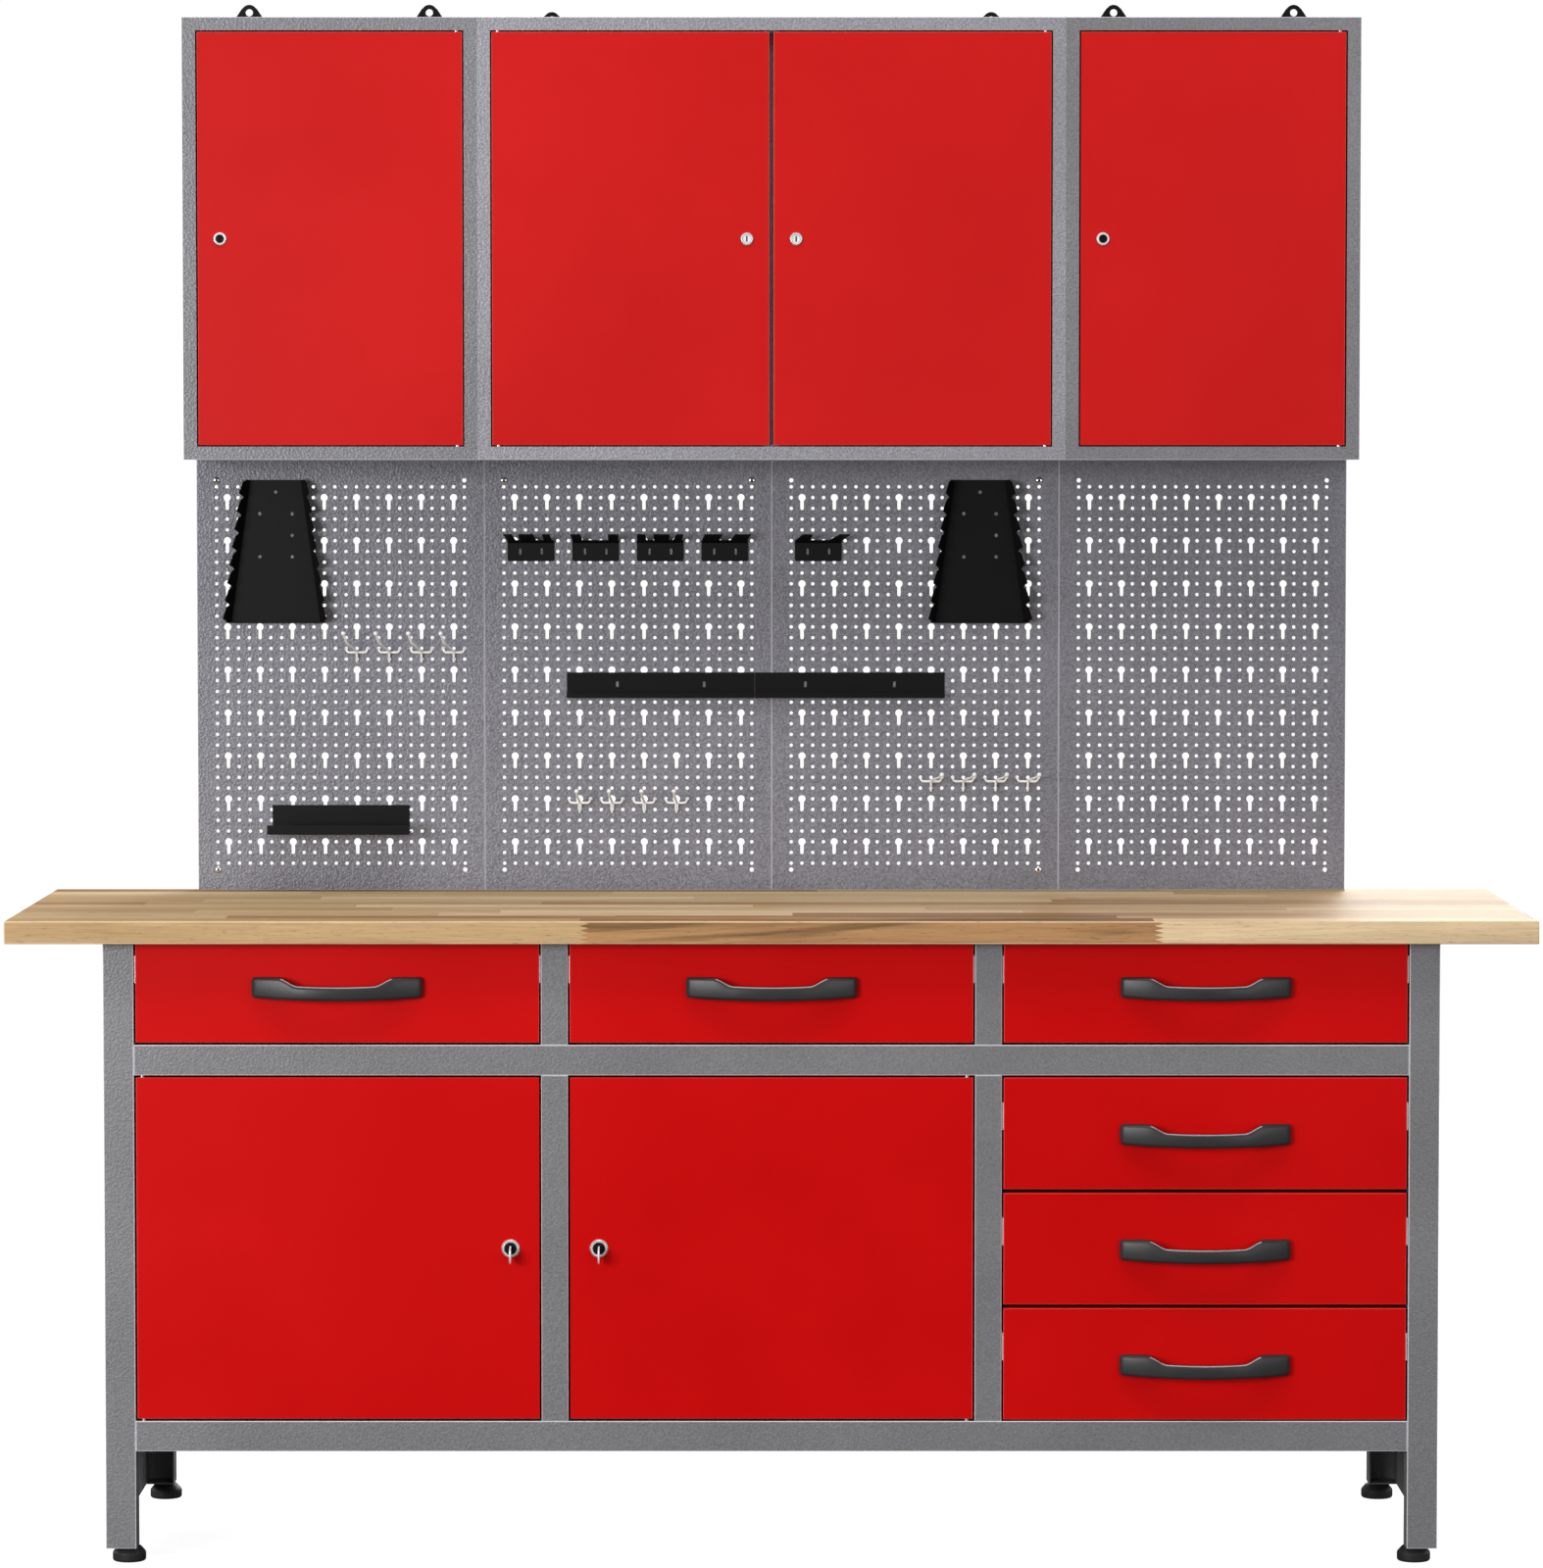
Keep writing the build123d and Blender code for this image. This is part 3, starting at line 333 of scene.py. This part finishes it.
NODE_MATERIALS = {
    "frame_grey": FRAME_GREY,
    "cabinet_grey": CABINET_GREY,
    "panel_grey": PANEL_GREY,
    "drawer_red": BENCH_RED,
    "cabinet_red": CABINET_RED,
    "tray_steel": TRAY_STEEL,
    "zinc": ZINC,
    "bright_zinc": BRIGHT_ZINC,
    "chrome": CHROME,
    "handle_plastic": HANDLE_BLACK,
    "foot_plastic": RUBBER_BLACK,
    "black_steel": STEEL_BLACK,
}


# ---- CAD nodes: materials and softened edges -------------------------------
def set_material(node, material):
    mesh = NODES[node].data
    mesh.materials.clear()
    mesh.materials.append(material)


def forget_normals(mesh):
    """Drops the CAD file's own normals, which don't fit a mesh that modifiers change."""
    if "custom_normal" in mesh.attributes:
        mesh.attributes.remove(mesh.attributes["custom_normal"])


def join_corners(node):
    """Welds a CAD node's split corners, so that a bevel can follow its edges."""
    weld = NODES[node].modifiers.new("join", "WELD")
    weld.merge_threshold = 0.01 * MM


def merge_flats(node):
    """Joins the triangles of each flat face, so that a bevel meets no diagonals."""
    flat = NODES[node].modifiers.new("flat", "DECIMATE")
    flat.decimate_type = "DISSOLVE"
    flat.angle_limit = math.radians(1.0)
    flat.delimit = {"MATERIAL"}


def round_edges(node, width, edge, group=""):
    """A small bevel on sharp edges, or on a vertex group's; edge, unless None, is the bevel faces'
    material, a painted highlight.
    """
    bevel = NODES[node].modifiers.new("round", "BEVEL")
    bevel.width = width
    bevel.segments = 2
    bevel.limit_method = "VGROUP" if group else "ANGLE"
    bevel.vertex_group = group
    bevel.angle_limit = math.radians(40.0)
    if edge is not None:
        NODES[node].data.materials.append(edge)
        bevel.material = len(NODES[node].data.materials) - 1


def soften(node, width):
    """Rounds all the sharp edges of a piece whose mesh is one closed skin."""
    forget_normals(NODES[node].data)
    NODES[node].data.shade_smooth()
    join_corners(node)
    merge_flats(node)
    round_edges(node, width, None)
    even = NODES[node].modifiers.new("even", "WEIGHTED_NORMAL")
    even.mode = "FACE_AREA"
    even.weight = 100


def name_outline(node, front_y, outer_only):
    """A vertex group of the corners of a node's front face, or of its outermost ones only."""
    low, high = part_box(node)
    near = 0.02 * MM
    corners = []
    for vert in NODES[node].data.vertices:
        x, y, z = vert.co
        at_side = min(abs(x - low.x), abs(x - high.x)) < near
        at_end = min(abs(z - low.z), abs(z - high.z)) < near
        if abs(y - front_y) < near and (not outer_only or (at_side and at_end)):
            corners.append(vert.index)
    NODES[node].vertex_groups.new(name="outline").add(corners, 1.0, "REPLACE")


def soften_folded(node, width, edge, front_y, outer_only=True):
    """Rounds the outline of a folded sheet's front face and leaves its inner folds sharp; the rounding
    takes edge, a painted highlight.
    """
    forget_normals(NODES[node].data)
    NODES[node].data.shade_flat()
    name_outline(node, front_y, outer_only)
    join_corners(node)
    merge_flats(node)
    round_edges(node, width, edge, "outline")


def soften_perforated(node, width, edge):
    """Rounds the front outline of a perforated panel, where its sides fold back; the rounding takes edge,
    a painted highlight.
    """
    name_outline(node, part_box(node)[0].y, True)
    join_corners(node)
    round_edges(node, width, edge, "outline")


def finish_cad_nodes():
    """Gives each CAD node the material of its slot."""
    for entry in frame["record"]["subparts"]:
        material = NODE_MATERIALS.get(entry["material_slot"])
        if material is not None:
            set_material(entry["node"], material)


# ---- pieces ----------------------------------------------------------------
def new_piece(name, mesh, body, node=None):
    """A visible piece that rides on a body and, if node is given, stands for that CAD node."""
    piece = bpy.data.objects.new(name, mesh)
    bpy.context.scene.collection.objects.link(piece)
    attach(piece, body)
    if node:
        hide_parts(node)
    return piece


def mesh_from(name, builder, materials, smooth_angle=35.0):
    mesh = bpy.data.meshes.new(name)
    builder.to_mesh(mesh)
    builder.free()
    for material in materials:
        mesh.materials.append(material)
    mesh.shade_smooth()
    mesh.set_sharp_from_angle(angle=math.radians(smooth_angle))
    return mesh


# ---- worktop ---------------------------------------------------------------
BEECH = [
    beech("beech_light", linear(232, 204, 163), linear(214, 182, 138), 0.0),
    beech("beech_pale", linear(214, 184, 140), linear(196, 164, 120), 0.0),
    beech("beech_mid", linear(201, 168, 124), linear(182, 148, 106), 0.0),
    beech("beech_tan", linear(186, 144, 98), linear(160, 118, 76), 0.35),
    beech("beech_heart", linear(186, 142, 98), linear(158, 114, 74), 0.85),
]
LIGHT, PALE, MEDIUM, TAN, HEART = range(5)
STAVE_ROWS = 12
FINGER_TEETH = 5
FINGER_LENGTH = 12.0 * MM


def finger_edge(x, low, high, tongue):
    """The zigzag outline of a finger joint at x, from bottom to top; a plain end has no tongue."""
    if tongue == 0.0:
        return [(x, low), (x, high)]
    turns = 2 * FINGER_TEETH
    step = (high - low) / turns
    return [(x + (tongue / 2 if k % 2 else -tongue / 2), low + k * step) for k in range(turns + 1)]


def add_stave(builder, layer, x_pair, y_pair, z_pair, joints, index, shift):
    """One stave: an outline with finger-jointed ends, drawn from the front and extruded back."""
    left = finger_edge(x_pair[0], *z_pair, joints[0])
    right = finger_edge(x_pair[1], *z_pair, joints[1])
    outline = left + right[::-1]
    front = [builder.verts.new((x, y_pair[0], z)) for x, z in outline]
    back = [builder.verts.new((x, y_pair[1], z)) for x, z in outline]
    faces = [builder.faces.new(front[::-1]), builder.faces.new(back)]
    for k in range(len(outline)):
        after = (k + 1) % len(outline)
        faces.append(builder.faces.new((front[k], front[after], back[after], back[k])))
    for face in faces:
        face.material_index = index
        face.normal_update()
        flat = abs(face.normal.z)
        for loop in face.loops:
            x, y, z = loop.vert.co
            across = y if flat > 0.5 else z + y_pair[0]
            loop[layer].uv = (x + shift[0], across + shift[1])


def build_worktop():
    """Rows of staves: the two front rows are listed, the others follow the random draws."""
    low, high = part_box("worktop")
    depth = (high.y - low.y) / STAVE_ROWS
    front_joints = (-0.663, -0.244, 0.505)
    front_tones = (MEDIUM, MEDIUM, HEART, LIGHT)
    second_joints = (-0.71, -0.2, 0.46)
    second_tones = (PALE, TAN, HEART, MEDIUM)
    left_tones = (LIGHT, PALE, PALE, MEDIUM, PALE, LIGHT, TAN)
    right_tones = (MEDIUM, TAN, MEDIUM, PALE, TAN, HEART, MEDIUM)
    builder = bmesh.new()
    layer = builder.loops.layers.uv.new("grain")
    for row in range(STAVE_ROWS):
        y_pair = (low.y + row * depth, low.y + (row + 1) * depth)
        if row == 0:
            cuts = list(front_joints)
            picks = list(front_tones)
        else:
            cuts = []
            x = low.x + RNG.uniform(0.12, 0.6)
            while x < high.x - 0.15:
                cuts.append(x)
                x += RNG.uniform(0.32, 0.8)
            picks = [RNG.choice(left_tones if start < 0.0 else right_tones) for start in [low.x] + cuts]
            if row == 1:
                # Its draws are made all the same, so that the rows behind keep theirs.
                cuts = list(second_joints)
                picks = list(second_tones)
        ends = [low.x] + cuts + [high.x]
        for k, pick in enumerate(picks):
            joints = (0.0 if k == 0 else FINGER_LENGTH, 0.0 if k == len(picks) - 1 else FINGER_LENGTH)
            shift = (RNG.uniform(0, 40), RNG.uniform(0, 40))
            add_stave(builder, layer, (ends[k], ends[k + 1]), y_pair, (low.z, high.z), joints, pick, shift)
    edges = [edge for edge in builder.edges if is_outer_edge(edge, low, high)]
    bmesh.ops.bevel(builder, geom=edges, offset=1.6 * MM, segments=3, profile=0.5, affect="EDGES")
    mesh = mesh_from("worktop_staves", builder, BEECH)
    new_piece("worktop_staves", mesh, BODY["worktop"], "worktop")


def is_outer_edge(edge, low, high):
    """True for an edge along the worktop's own outline, where two outer faces meet."""
    near = 0.01 * MM
    sides = 0
    for axis in range(3):
        for limit in (low[axis], high[axis]):
            if all(abs(vert.co[axis] - limit) < near for vert in edge.verts):
                sides += 1
    return sides >= 2


# ---- handles ---------------------------------------------------------------
HANDLE_BOTTOM = 14.0
HANDLE_TOP = 16.0
# How far the painted highlight reaches from the handle's middle, in millimetres, and which strip of the
# ring it takes.
HIGHLIGHT_HALF_LENGTH = 74.0
HIGHLIGHT_STRIP = 7


def smooth_step(value):
    """A rise from 0 to 1 that starts and ends level."""
    value = min(1.0, max(0.0, value))
    return value * value * (3.0 - 2.0 * value)


def handle_section(x, half):
    """Outer depth, inner depth, bottom and top of a handle at x, in millimetres."""
    opening = 62.0
    opening_end = 15.0
    slim = 50.0
    slim_end = 27.0
    part = x / half
    outer = 9.0 + 23.0 * (1.0 - part * part)
    grip = 21.0 - 7.0 * (x / opening) ** 2
    inner = max(0.0, grip * (1.0 - smooth_step((abs(x) - opening) / opening_end)))
    bottom = -HANDLE_BOTTOM + 3.0 * part * part
    middle = 4.6 + 1.0 * (x / slim) ** 2
    top = middle + (HANDLE_TOP - middle) * smooth_step((abs(x) - slim) / slim_end)
    return outer, inner, bottom, min(top, HANDLE_TOP)


def ring_points(outer, inner, bottom, top, inset, corners=4):
    """A rounded rectangle in the depth and height plane, from the section's limits."""
    radius_front = min(4.5, (top - bottom) / 2.2, (outer - inner) / 2.2)
    radius_back = min(2.0, radius_front) if inner > 1.0 else 0.3
    low, high = bottom + inset, top - inset
    near, far = inner, outer - inset
    centres = (
        (far - radius_front, low + radius_front, radius_front, 270.0),
        (far - radius_front, high - radius_front, radius_front, 0.0),
        (near + radius_back, high - radius_back, radius_back, 90.0),
        (near + radius_back, low + radius_back, radius_back, 180.0),
    )
    points = []
    for depth, height, radius, start in centres:
        for k in range(corners + 1):
            angle = math.radians(start + 90.0 * k / corners)
            points.append((depth + radius * math.cos(angle), height + radius * math.sin(angle)))
    return points


def build_handle(node):
    """A moulded bow: rounded sections lofted from foot to foot, with a painted highlight along the upper
    front edge.
    """
    low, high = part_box(node)
    half = (high.x - low.x) / 2 / MM
    middle_x = (low.x + high.x) / 2
    face_y = high.y
    zero_z = low.z + HANDLE_BOTTOM * MM
    steps = 72
    stations = [-half, -half + 0.6, -half + 1.8]
    stations += [-half + 3.0 + k * (2 * half - 6.0) / steps for k in range(steps + 1)]
    stations += [half - 1.8, half - 0.6, half]
    insets = {0: 4.5, 1: 2.6, 2: 1.0, 3: 0.2}
    builder = bmesh.new()
    rings = []
    for k, x in enumerate(stations):
        inset = insets.get(min(k, len(stations) - 1 - k), 0.0)
        points = ring_points(*handle_section(x, half), inset)
        ring = []
        for depth, height in points:
            place = (middle_x + x * MM, face_y - depth * MM, zero_z + height * MM)
            ring.append(builder.verts.new(place))
        rings.append(ring)
    count = len(rings[0])
    for first, second in zip(rings, rings[1:]):
        for k in range(count):
            after = (k + 1) % count
            face = builder.faces.new((first[k], second[k], second[after], first[after]))
            middle = abs(face.calc_center_median().x - middle_x) / MM
            # A painted highlight on the upper front edge, near the middle.
            face.material_index = 1 if k == HIGHLIGHT_STRIP and middle < HIGHLIGHT_HALF_LENGTH else 0
    builder.faces.new(rings[0])
    builder.faces.new(rings[-1][::-1])
    bmesh.ops.recalc_face_normals(builder, faces=builder.faces)
    mesh = mesh_from(f"{node}_bow", builder, [HANDLE_BLACK, HANDLE_PAINTED_HIGHLIGHT], 60.0)
    new_piece(f"{node}_bow", mesh, BODY[node], node)


# ---- wire hooks ------------------------------------------------------------
PEG_PITCH = 15.0
MIDDLE_COLUMN = 11.5
MIDDLE_ROW = 17.5
WIRE_RADIUS = 1.7
WIRE_AHEAD = 2.6
BALL_RADIUS = 3.2


def rounded_path(points, bend, steps=5):
    """A wire's centre line: straight runs with a smooth bend at each corner."""
    points = [Vector(point) for point in points]
    path = [points[0]]
    for before, corner, after in zip(points, points[1:], points[2:]):
        start = corner + (before - corner).normalized() * min(bend, (before - corner).length / 2)
        end = corner + (after - corner).normalized() * min(bend, (after - corner).length / 2)
        for k in range(steps + 1):
            t = k / steps
            path.append(start * (1 - t) ** 2 + corner * 2 * t * (1 - t) + end * t * t)
    path.append(points[-1])
    return path


def add_tube(builder, path, radius, sides=12):
    """A capped round tube along a path."""
    rings = []
    guide = Vector((0.31, 0.22, 0.93))
    for k, point in enumerate(path):
        along = (path[min(k + 1, len(path) - 1)] - path[max(k - 1, 0)]).normalized()
        across = along.cross(guide).normalized()
        other = along.cross(across)
        ring = []
        for n in range(sides):
            angle = math.tau * n / sides
            outward = across * math.cos(angle) + other * math.sin(angle)
            ring.append(builder.verts.new(point + outward * radius))
        rings.append(ring)
    for first, second in zip(rings, rings[1:]):
        for n in range(sides):
            after = (n + 1) % sides
            builder.faces.new((first[n], first[after], second[after], second[n]))
    builder.faces.new(rings[0][::-1])
    builder.faces.new(rings[-1])


def add_ball(builder, place, radius):
    ball = bmesh.ops.create_uvsphere(builder, u_segments=14, v_segments=9, radius=radius)
    bmesh.ops.translate(builder, verts=ball["verts"], vec=place)


def peg_point(panel, column, row):
    """The centre of a peg hole on a panel's front face; columns and rows count from the top left."""
    low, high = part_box(f"pegboard_{panel + 1}")
    middle = (low + high) / 2
    x = middle.x + (column - MIDDLE_COLUMN) * PEG_PITCH * MM
    z = middle.z + (MIDDLE_ROW - row) * PEG_PITCH * MM
    return Vector((x, low.y, z))


def add_hook(builder, place, lean, rise):
    """A bent wire: two pegs and a crossbar, and a stem with a rising prong and a ball tip."""
    wire_y = -WIRE_AHEAD
    pegs = [(-15, 8, 0), (-15.4, wire_y + 0.6, 0), (-12.5, wire_y, -5.5), (12.5, wire_y, -5.5)]
    pegs += [(15.4, wire_y + 0.6, 0), (15, 8, 0)]
    stem = [(0, wire_y, -19), (0, wire_y - 3.2, -3.5)]
    stem += [(lean * 0.72, wire_y - 33, rise * 0.4 - 1), (lean, wire_y - 44, rise)]
    for points, bend in ((pegs, 2.2 * MM), (stem, 4.0 * MM)):
        path = rounded_path([place + Vector(point) * MM for point in points], bend)
        add_tube(builder, path, WIRE_RADIUS * MM)
    add_ball(builder, place + Vector(stem[-1]) * MM, BALL_RADIUS * MM)


def build_wire_hooks():
    """Three groups of four: panel, row, columns, and the prong's lean to the side and its rise."""
    builder = bmesh.new()
    left = (0, 15, (13, 16, 19, 22), -16.0, 22.0)
    middle = (1, 29, (7, 10, 13, 16), -3.0, 13.0)
    right = (2, 27, (13, 16, 19, 22), 14.0, 6.0)
    for panel, row, columns, lean, rise in (left, middle, right):
        for column in columns:
            add_hook(builder, peg_point(panel, column, row), lean, rise)
    mesh = mesh_from("wire_hooks_bent", builder, [WIRE_ZINC], 60.0)
    new_piece("wire_hooks_bent", mesh, BODY["wire_hooks"], "wire_hooks")


# ---- turned parts ----------------------------------------------------------
def add_lathe(builder, profile, place, steps, lobes=0, depth=0.0, hollow=False):
    """A turned shape around the Y axis: pairs of radius and distance in front, in millimetres.

    Lobes make its edge wavy. A hollow shape is a ring; the others are closed by a disc at each end.
    """
    rings = []
    for radius, ahead in profile:
        ring = []
        for k in range(steps):
            angle = math.tau * k / steps
            reach = radius * (1.0 - depth * (0.5 - 0.5 * math.cos(lobes * angle))) if lobes else radius
            offset = Vector((reach * math.cos(angle), -ahead, reach * math.sin(angle)))
            ring.append(builder.verts.new(place + offset * MM))
        rings.append(ring)
    if hollow:
        rings.append(rings[0])
        faces = []
    else:
        faces = [builder.faces.new(rings[0][::-1]), builder.faces.new(rings[-1])]
    for first, second in zip(rings, rings[1:]):
        for k in range(steps):
            after = (k + 1) % steps
            faces.append(builder.faces.new((first[k], first[after], second[after], second[k])))
    bmesh.ops.recalc_face_normals(builder, faces=faces)


def add_box(builder, low, high, index):
    """A box between two corners, with one material of the piece's list."""
    cube = bmesh.ops.create_cube(builder, size=1.0)
    for vert in cube["verts"]:
        for axis in range(3):
            vert.co[axis] = low[axis] if vert.co[axis] < 0 else high[axis]
    for face in {face for vert in cube["verts"] for face in vert.link_faces}:
        face.material_index = index


# Radii of a rosette and its bore, and how far the lock's node reaches above its axis, in millimetres.
BENCH_LOCK = {"rosette": 12.0, "bore": 7.6, "above": 7.5}
CABINET_LOCK = {"rosette": 9.0, "bore": 5.6, "above": 7.0}
DOORS = {
    "bench_door_left": BENCH_LOCK,
    "bench_door_middle": BENCH_LOCK,
    "cabinet_door_left": CABINET_LOCK,
    "cabinet_door_middle_left": CABINET_LOCK,
    "cabinet_door_middle_right": CABINET_LOCK,
    "cabinet_door_right": CABINET_LOCK,
}
BARREL_REACH = 9.6
BARREL_AHEAD = 3.0
NOSE_AHEAD = 2.4
SLOT_HALF_WIDTH = 1.1
SLOT_HALF_HEIGHT = 4.1


def lock_centre(door):
    """The lock's axis where it meets the door's face."""
    low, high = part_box(f"{door}_lock")
    face_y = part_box(door)[0].y + BARREL_AHEAD * MM
    return Vector(((low.x + high.x) / 2, face_y, high.z - DOORS[door]["above"] * MM))


def build_rosette(door):
    """The polished ring around a lock, a little proud of the CAD barrel; its innermost lip is painted
    black as shade in the bore.
    """
    radius = DOORS[door]["rosette"]
    bore = DOORS[door]["bore"]
    centre = lock_centre(door)
    wide = radius - bore
    profile = [(bore, 2.3), (bore + 0.7, 2.45)]
    for part in (0.25, 0.4, 0.55, 0.7):
        swell = 0.65 * math.sin(math.pi * part ** 0.8)
        profile.append((bore + wide * part, 2.45 + swell))
    profile += [(radius - 0.9, 2.75), (radius - 0.2, 1.95), (radius + 0.08, 1.0), (radius + 0.08, 0.0)]
    lobed = door in ("cabinet_door_middle_left", "cabinet_door_middle_right")
    builder = bmesh.new()
    add_lathe(builder, profile, centre, steps=64, lobes=12 if lobed else 0, depth=0.035, hollow=True)
    for face in builder.faces:
        reach = math.hypot(face.calc_center_median().x - centre.x, face.calc_center_median().z - centre.z)
        # Painted shade: the lip at the bore is black.
        if reach < (bore + 0.5) * MM:
            face.material_index = 1
    mesh = mesh_from(f"{door}_rosette", builder, [NICKEL, STEEL_BLACK], 50.0)
    new_piece(f"{door}_rosette", mesh, BODY[door])


def finish_lock(door):
    """Nickel plug, zinc cam, bright key; the slot is painted black as shade, and the face is black except
    on the middle cabinet, a painted dark reflection on the bench doors.
    """
    node = NODES[f"{door}_lock"]
    mesh = node.data
    centre = lock_centre(door)
    nose_y = centre.y - NOSE_AHEAD * MM
    dark_face = not door.startswith("cabinet_door_middle")
    mesh.materials.clear()
    for material in (NICKEL, STEEL_BLACK, ZINC, KEY_STEEL):
        mesh.materials.append(material)
    for face in mesh.polygons:
        middle = node.matrix_world @ face.center
        across, up = abs(middle.x - centre.x), abs(middle.z - centre.z)
        in_outline = across < SLOT_HALF_WIDTH * MM and up < SLOT_HALF_HEIGHT * MM
        in_slot = in_outline and nose_y + 0.1 * MM < middle.y < centre.y
        on_face = abs(middle.y - nose_y) < 0.05 * MM
        # Painted shade in the slot; the black face is a painted dark reflection on the bench doors.
        if in_slot or (dark_face and on_face):
            face.material_index = 1
        elif middle.y > centre.y + 1.0 * MM:
            face.material_index = 2
        elif middle.y < nose_y - 0.1 * MM:
            face.material_index = 3
        else:
            face.material_index = 0


def finish_door(door):
    """Red door with its lock barrel in chrome."""
    node = NODES[door]
    mesh = node.data
    centre = lock_centre(door)
    rosette = DOORS[door]["rosette"] * MM
    mesh.materials.append(CHROME)
    for face in mesh.polygons:
        middle = node.matrix_world @ face.center
        reach = math.hypot(middle.x - centre.x, middle.z - centre.z)
        before_face = middle.y < centre.y - 0.1 * MM
        if reach < rosette + 0.2 * MM and (before_face or reach < BARREL_REACH * MM):
            face.material_index = 1


def finish_tray(drawer):
    """Bright runner tabs on the tray, where it shows in the gaps beside the drawer front."""
    node = NODES[f"{drawer}_tray"]
    mesh = node.data
    front_low, front_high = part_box(f"{drawer}_front")
    mesh.materials.append(TAB_ZINC)
    for face in mesh.polygons:
        middle = node.matrix_world @ face.center
        if middle.x < front_low.x or middle.x > front_high.x:
            face.material_index = 1


# ---- screws ----------------------------------------------------------------
SCREW_ASIDE = 172.5
SCREW_ABOVE = 271.5


def build_panel_screws():
    """Pan-head screws with a cross recess, at six corners of the panels; the recess is two thin black
    boxes, painted shade.
    """
    builder = bmesh.new()
    corners = ((0, -1, 1), (0, -1, -1), (1, -1, 1), (1, 1, 1), (2, 1, 1), (2, 1, -1))
    profile = ((0.3, 2.55), (2.2, 2.5), (3.6, 2.1), (4.6, 1.3), (5.0, 0.4), (5.0, 0.0))
    for panel, side_x, side_z in corners:
        low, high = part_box(f"pegboard_{panel + 1}")
        middle = (low + high) / 2
        aside = side_x * SCREW_ASIDE * MM
        above = side_z * SCREW_ABOVE * MM
        place = Vector((middle.x + aside, low.y, middle.z + above))
        add_lathe(builder, profile, place, 36)
        # The cross recess: two thin black boxes, painted shade rather than a cut.
        for wide, tall in ((1.9, 0.5), (0.5, 1.9)):
            half = Vector((wide, 0.3, tall)) * MM
            front = place + Vector((0.0, -2.3, 0.0)) * MM
            add_box(builder, front - half, front + half, 1)
        add_lathe(builder, ((2.4, -16.0), (2.4, 0.0)), place, 16)
    mesh = mesh_from("panel_screw_heads", builder, [CHROME, STEEL_BLACK], 40.0)
    new_piece("panel_screw_heads", mesh, BODY["panel_screws"], "panel_screws")


# ---- run -------------------------------------------------------------------
BLACK_SHEETS = ("spanner_rack_left", "spanner_rack_right", "tool_strips", "tool_clips", "small_shelf")
GREY_SHEETS = {
    "legs": 1.1,
    "front_rails": 1.1,
    "divider_left": 0.8,
    "divider_right": 0.8,
    "cabinet_left_case": 0.7,
    "cabinet_middle_case": 0.7,
    "cabinet_right_case": 0.7,
}
DRAWERS = (
    "drawer_top_left",
    "drawer_top_middle",
    "drawer_top_right",
    "drawer_column_upper",
    "drawer_column_middle",
    "drawer_column_lower",
)

bpy.context.scene.view_settings.view_transform = "Standard"
make_camera()
make_stage()
finish_cad_nodes()
build_worktop()
build_wire_hooks()
build_panel_screws()
for drawer in DRAWERS:
    build_handle(f"{drawer}_handle")
    finish_tray(drawer)
    front = f"{drawer}_front"
    # Its rounded outline takes a painted highlight.
    soften_folded(front, 0.9 * MM, RED_EDGE_HIGHLIGHT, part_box(front)[0].y)
for door in DOORS:
    finish_door(door)
    finish_lock(door)
    build_rosette(door)
    # Its rounded outline takes a painted highlight.
    soften_folded(door, 0.9 * MM, RED_EDGE_HIGHLIGHT, lock_centre(door).y)
set_material("cabinet_middle_case", MIDDLE_GREY)
for node, width in GREY_SHEETS.items():
    # Their rounded outlines take a painted highlight.
    soften_folded(node, width * MM, GREY_EDGE_HIGHLIGHT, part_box(node)[0].y, node.endswith("case"))
for number in range(1, 5):
    # Their rounded outlines take a painted highlight.
    soften_perforated(f"pegboard_{number}", 1.0 * MM, PANEL_EDGE_HIGHLIGHT)
for node in BLACK_SHEETS:
    soften(node, 0.5 * MM)
for node, width in (("side_panels", 0.8), ("hanging_brackets", 0.5), ("foot_glides", 1.5)):
    soften(node, width * MM)
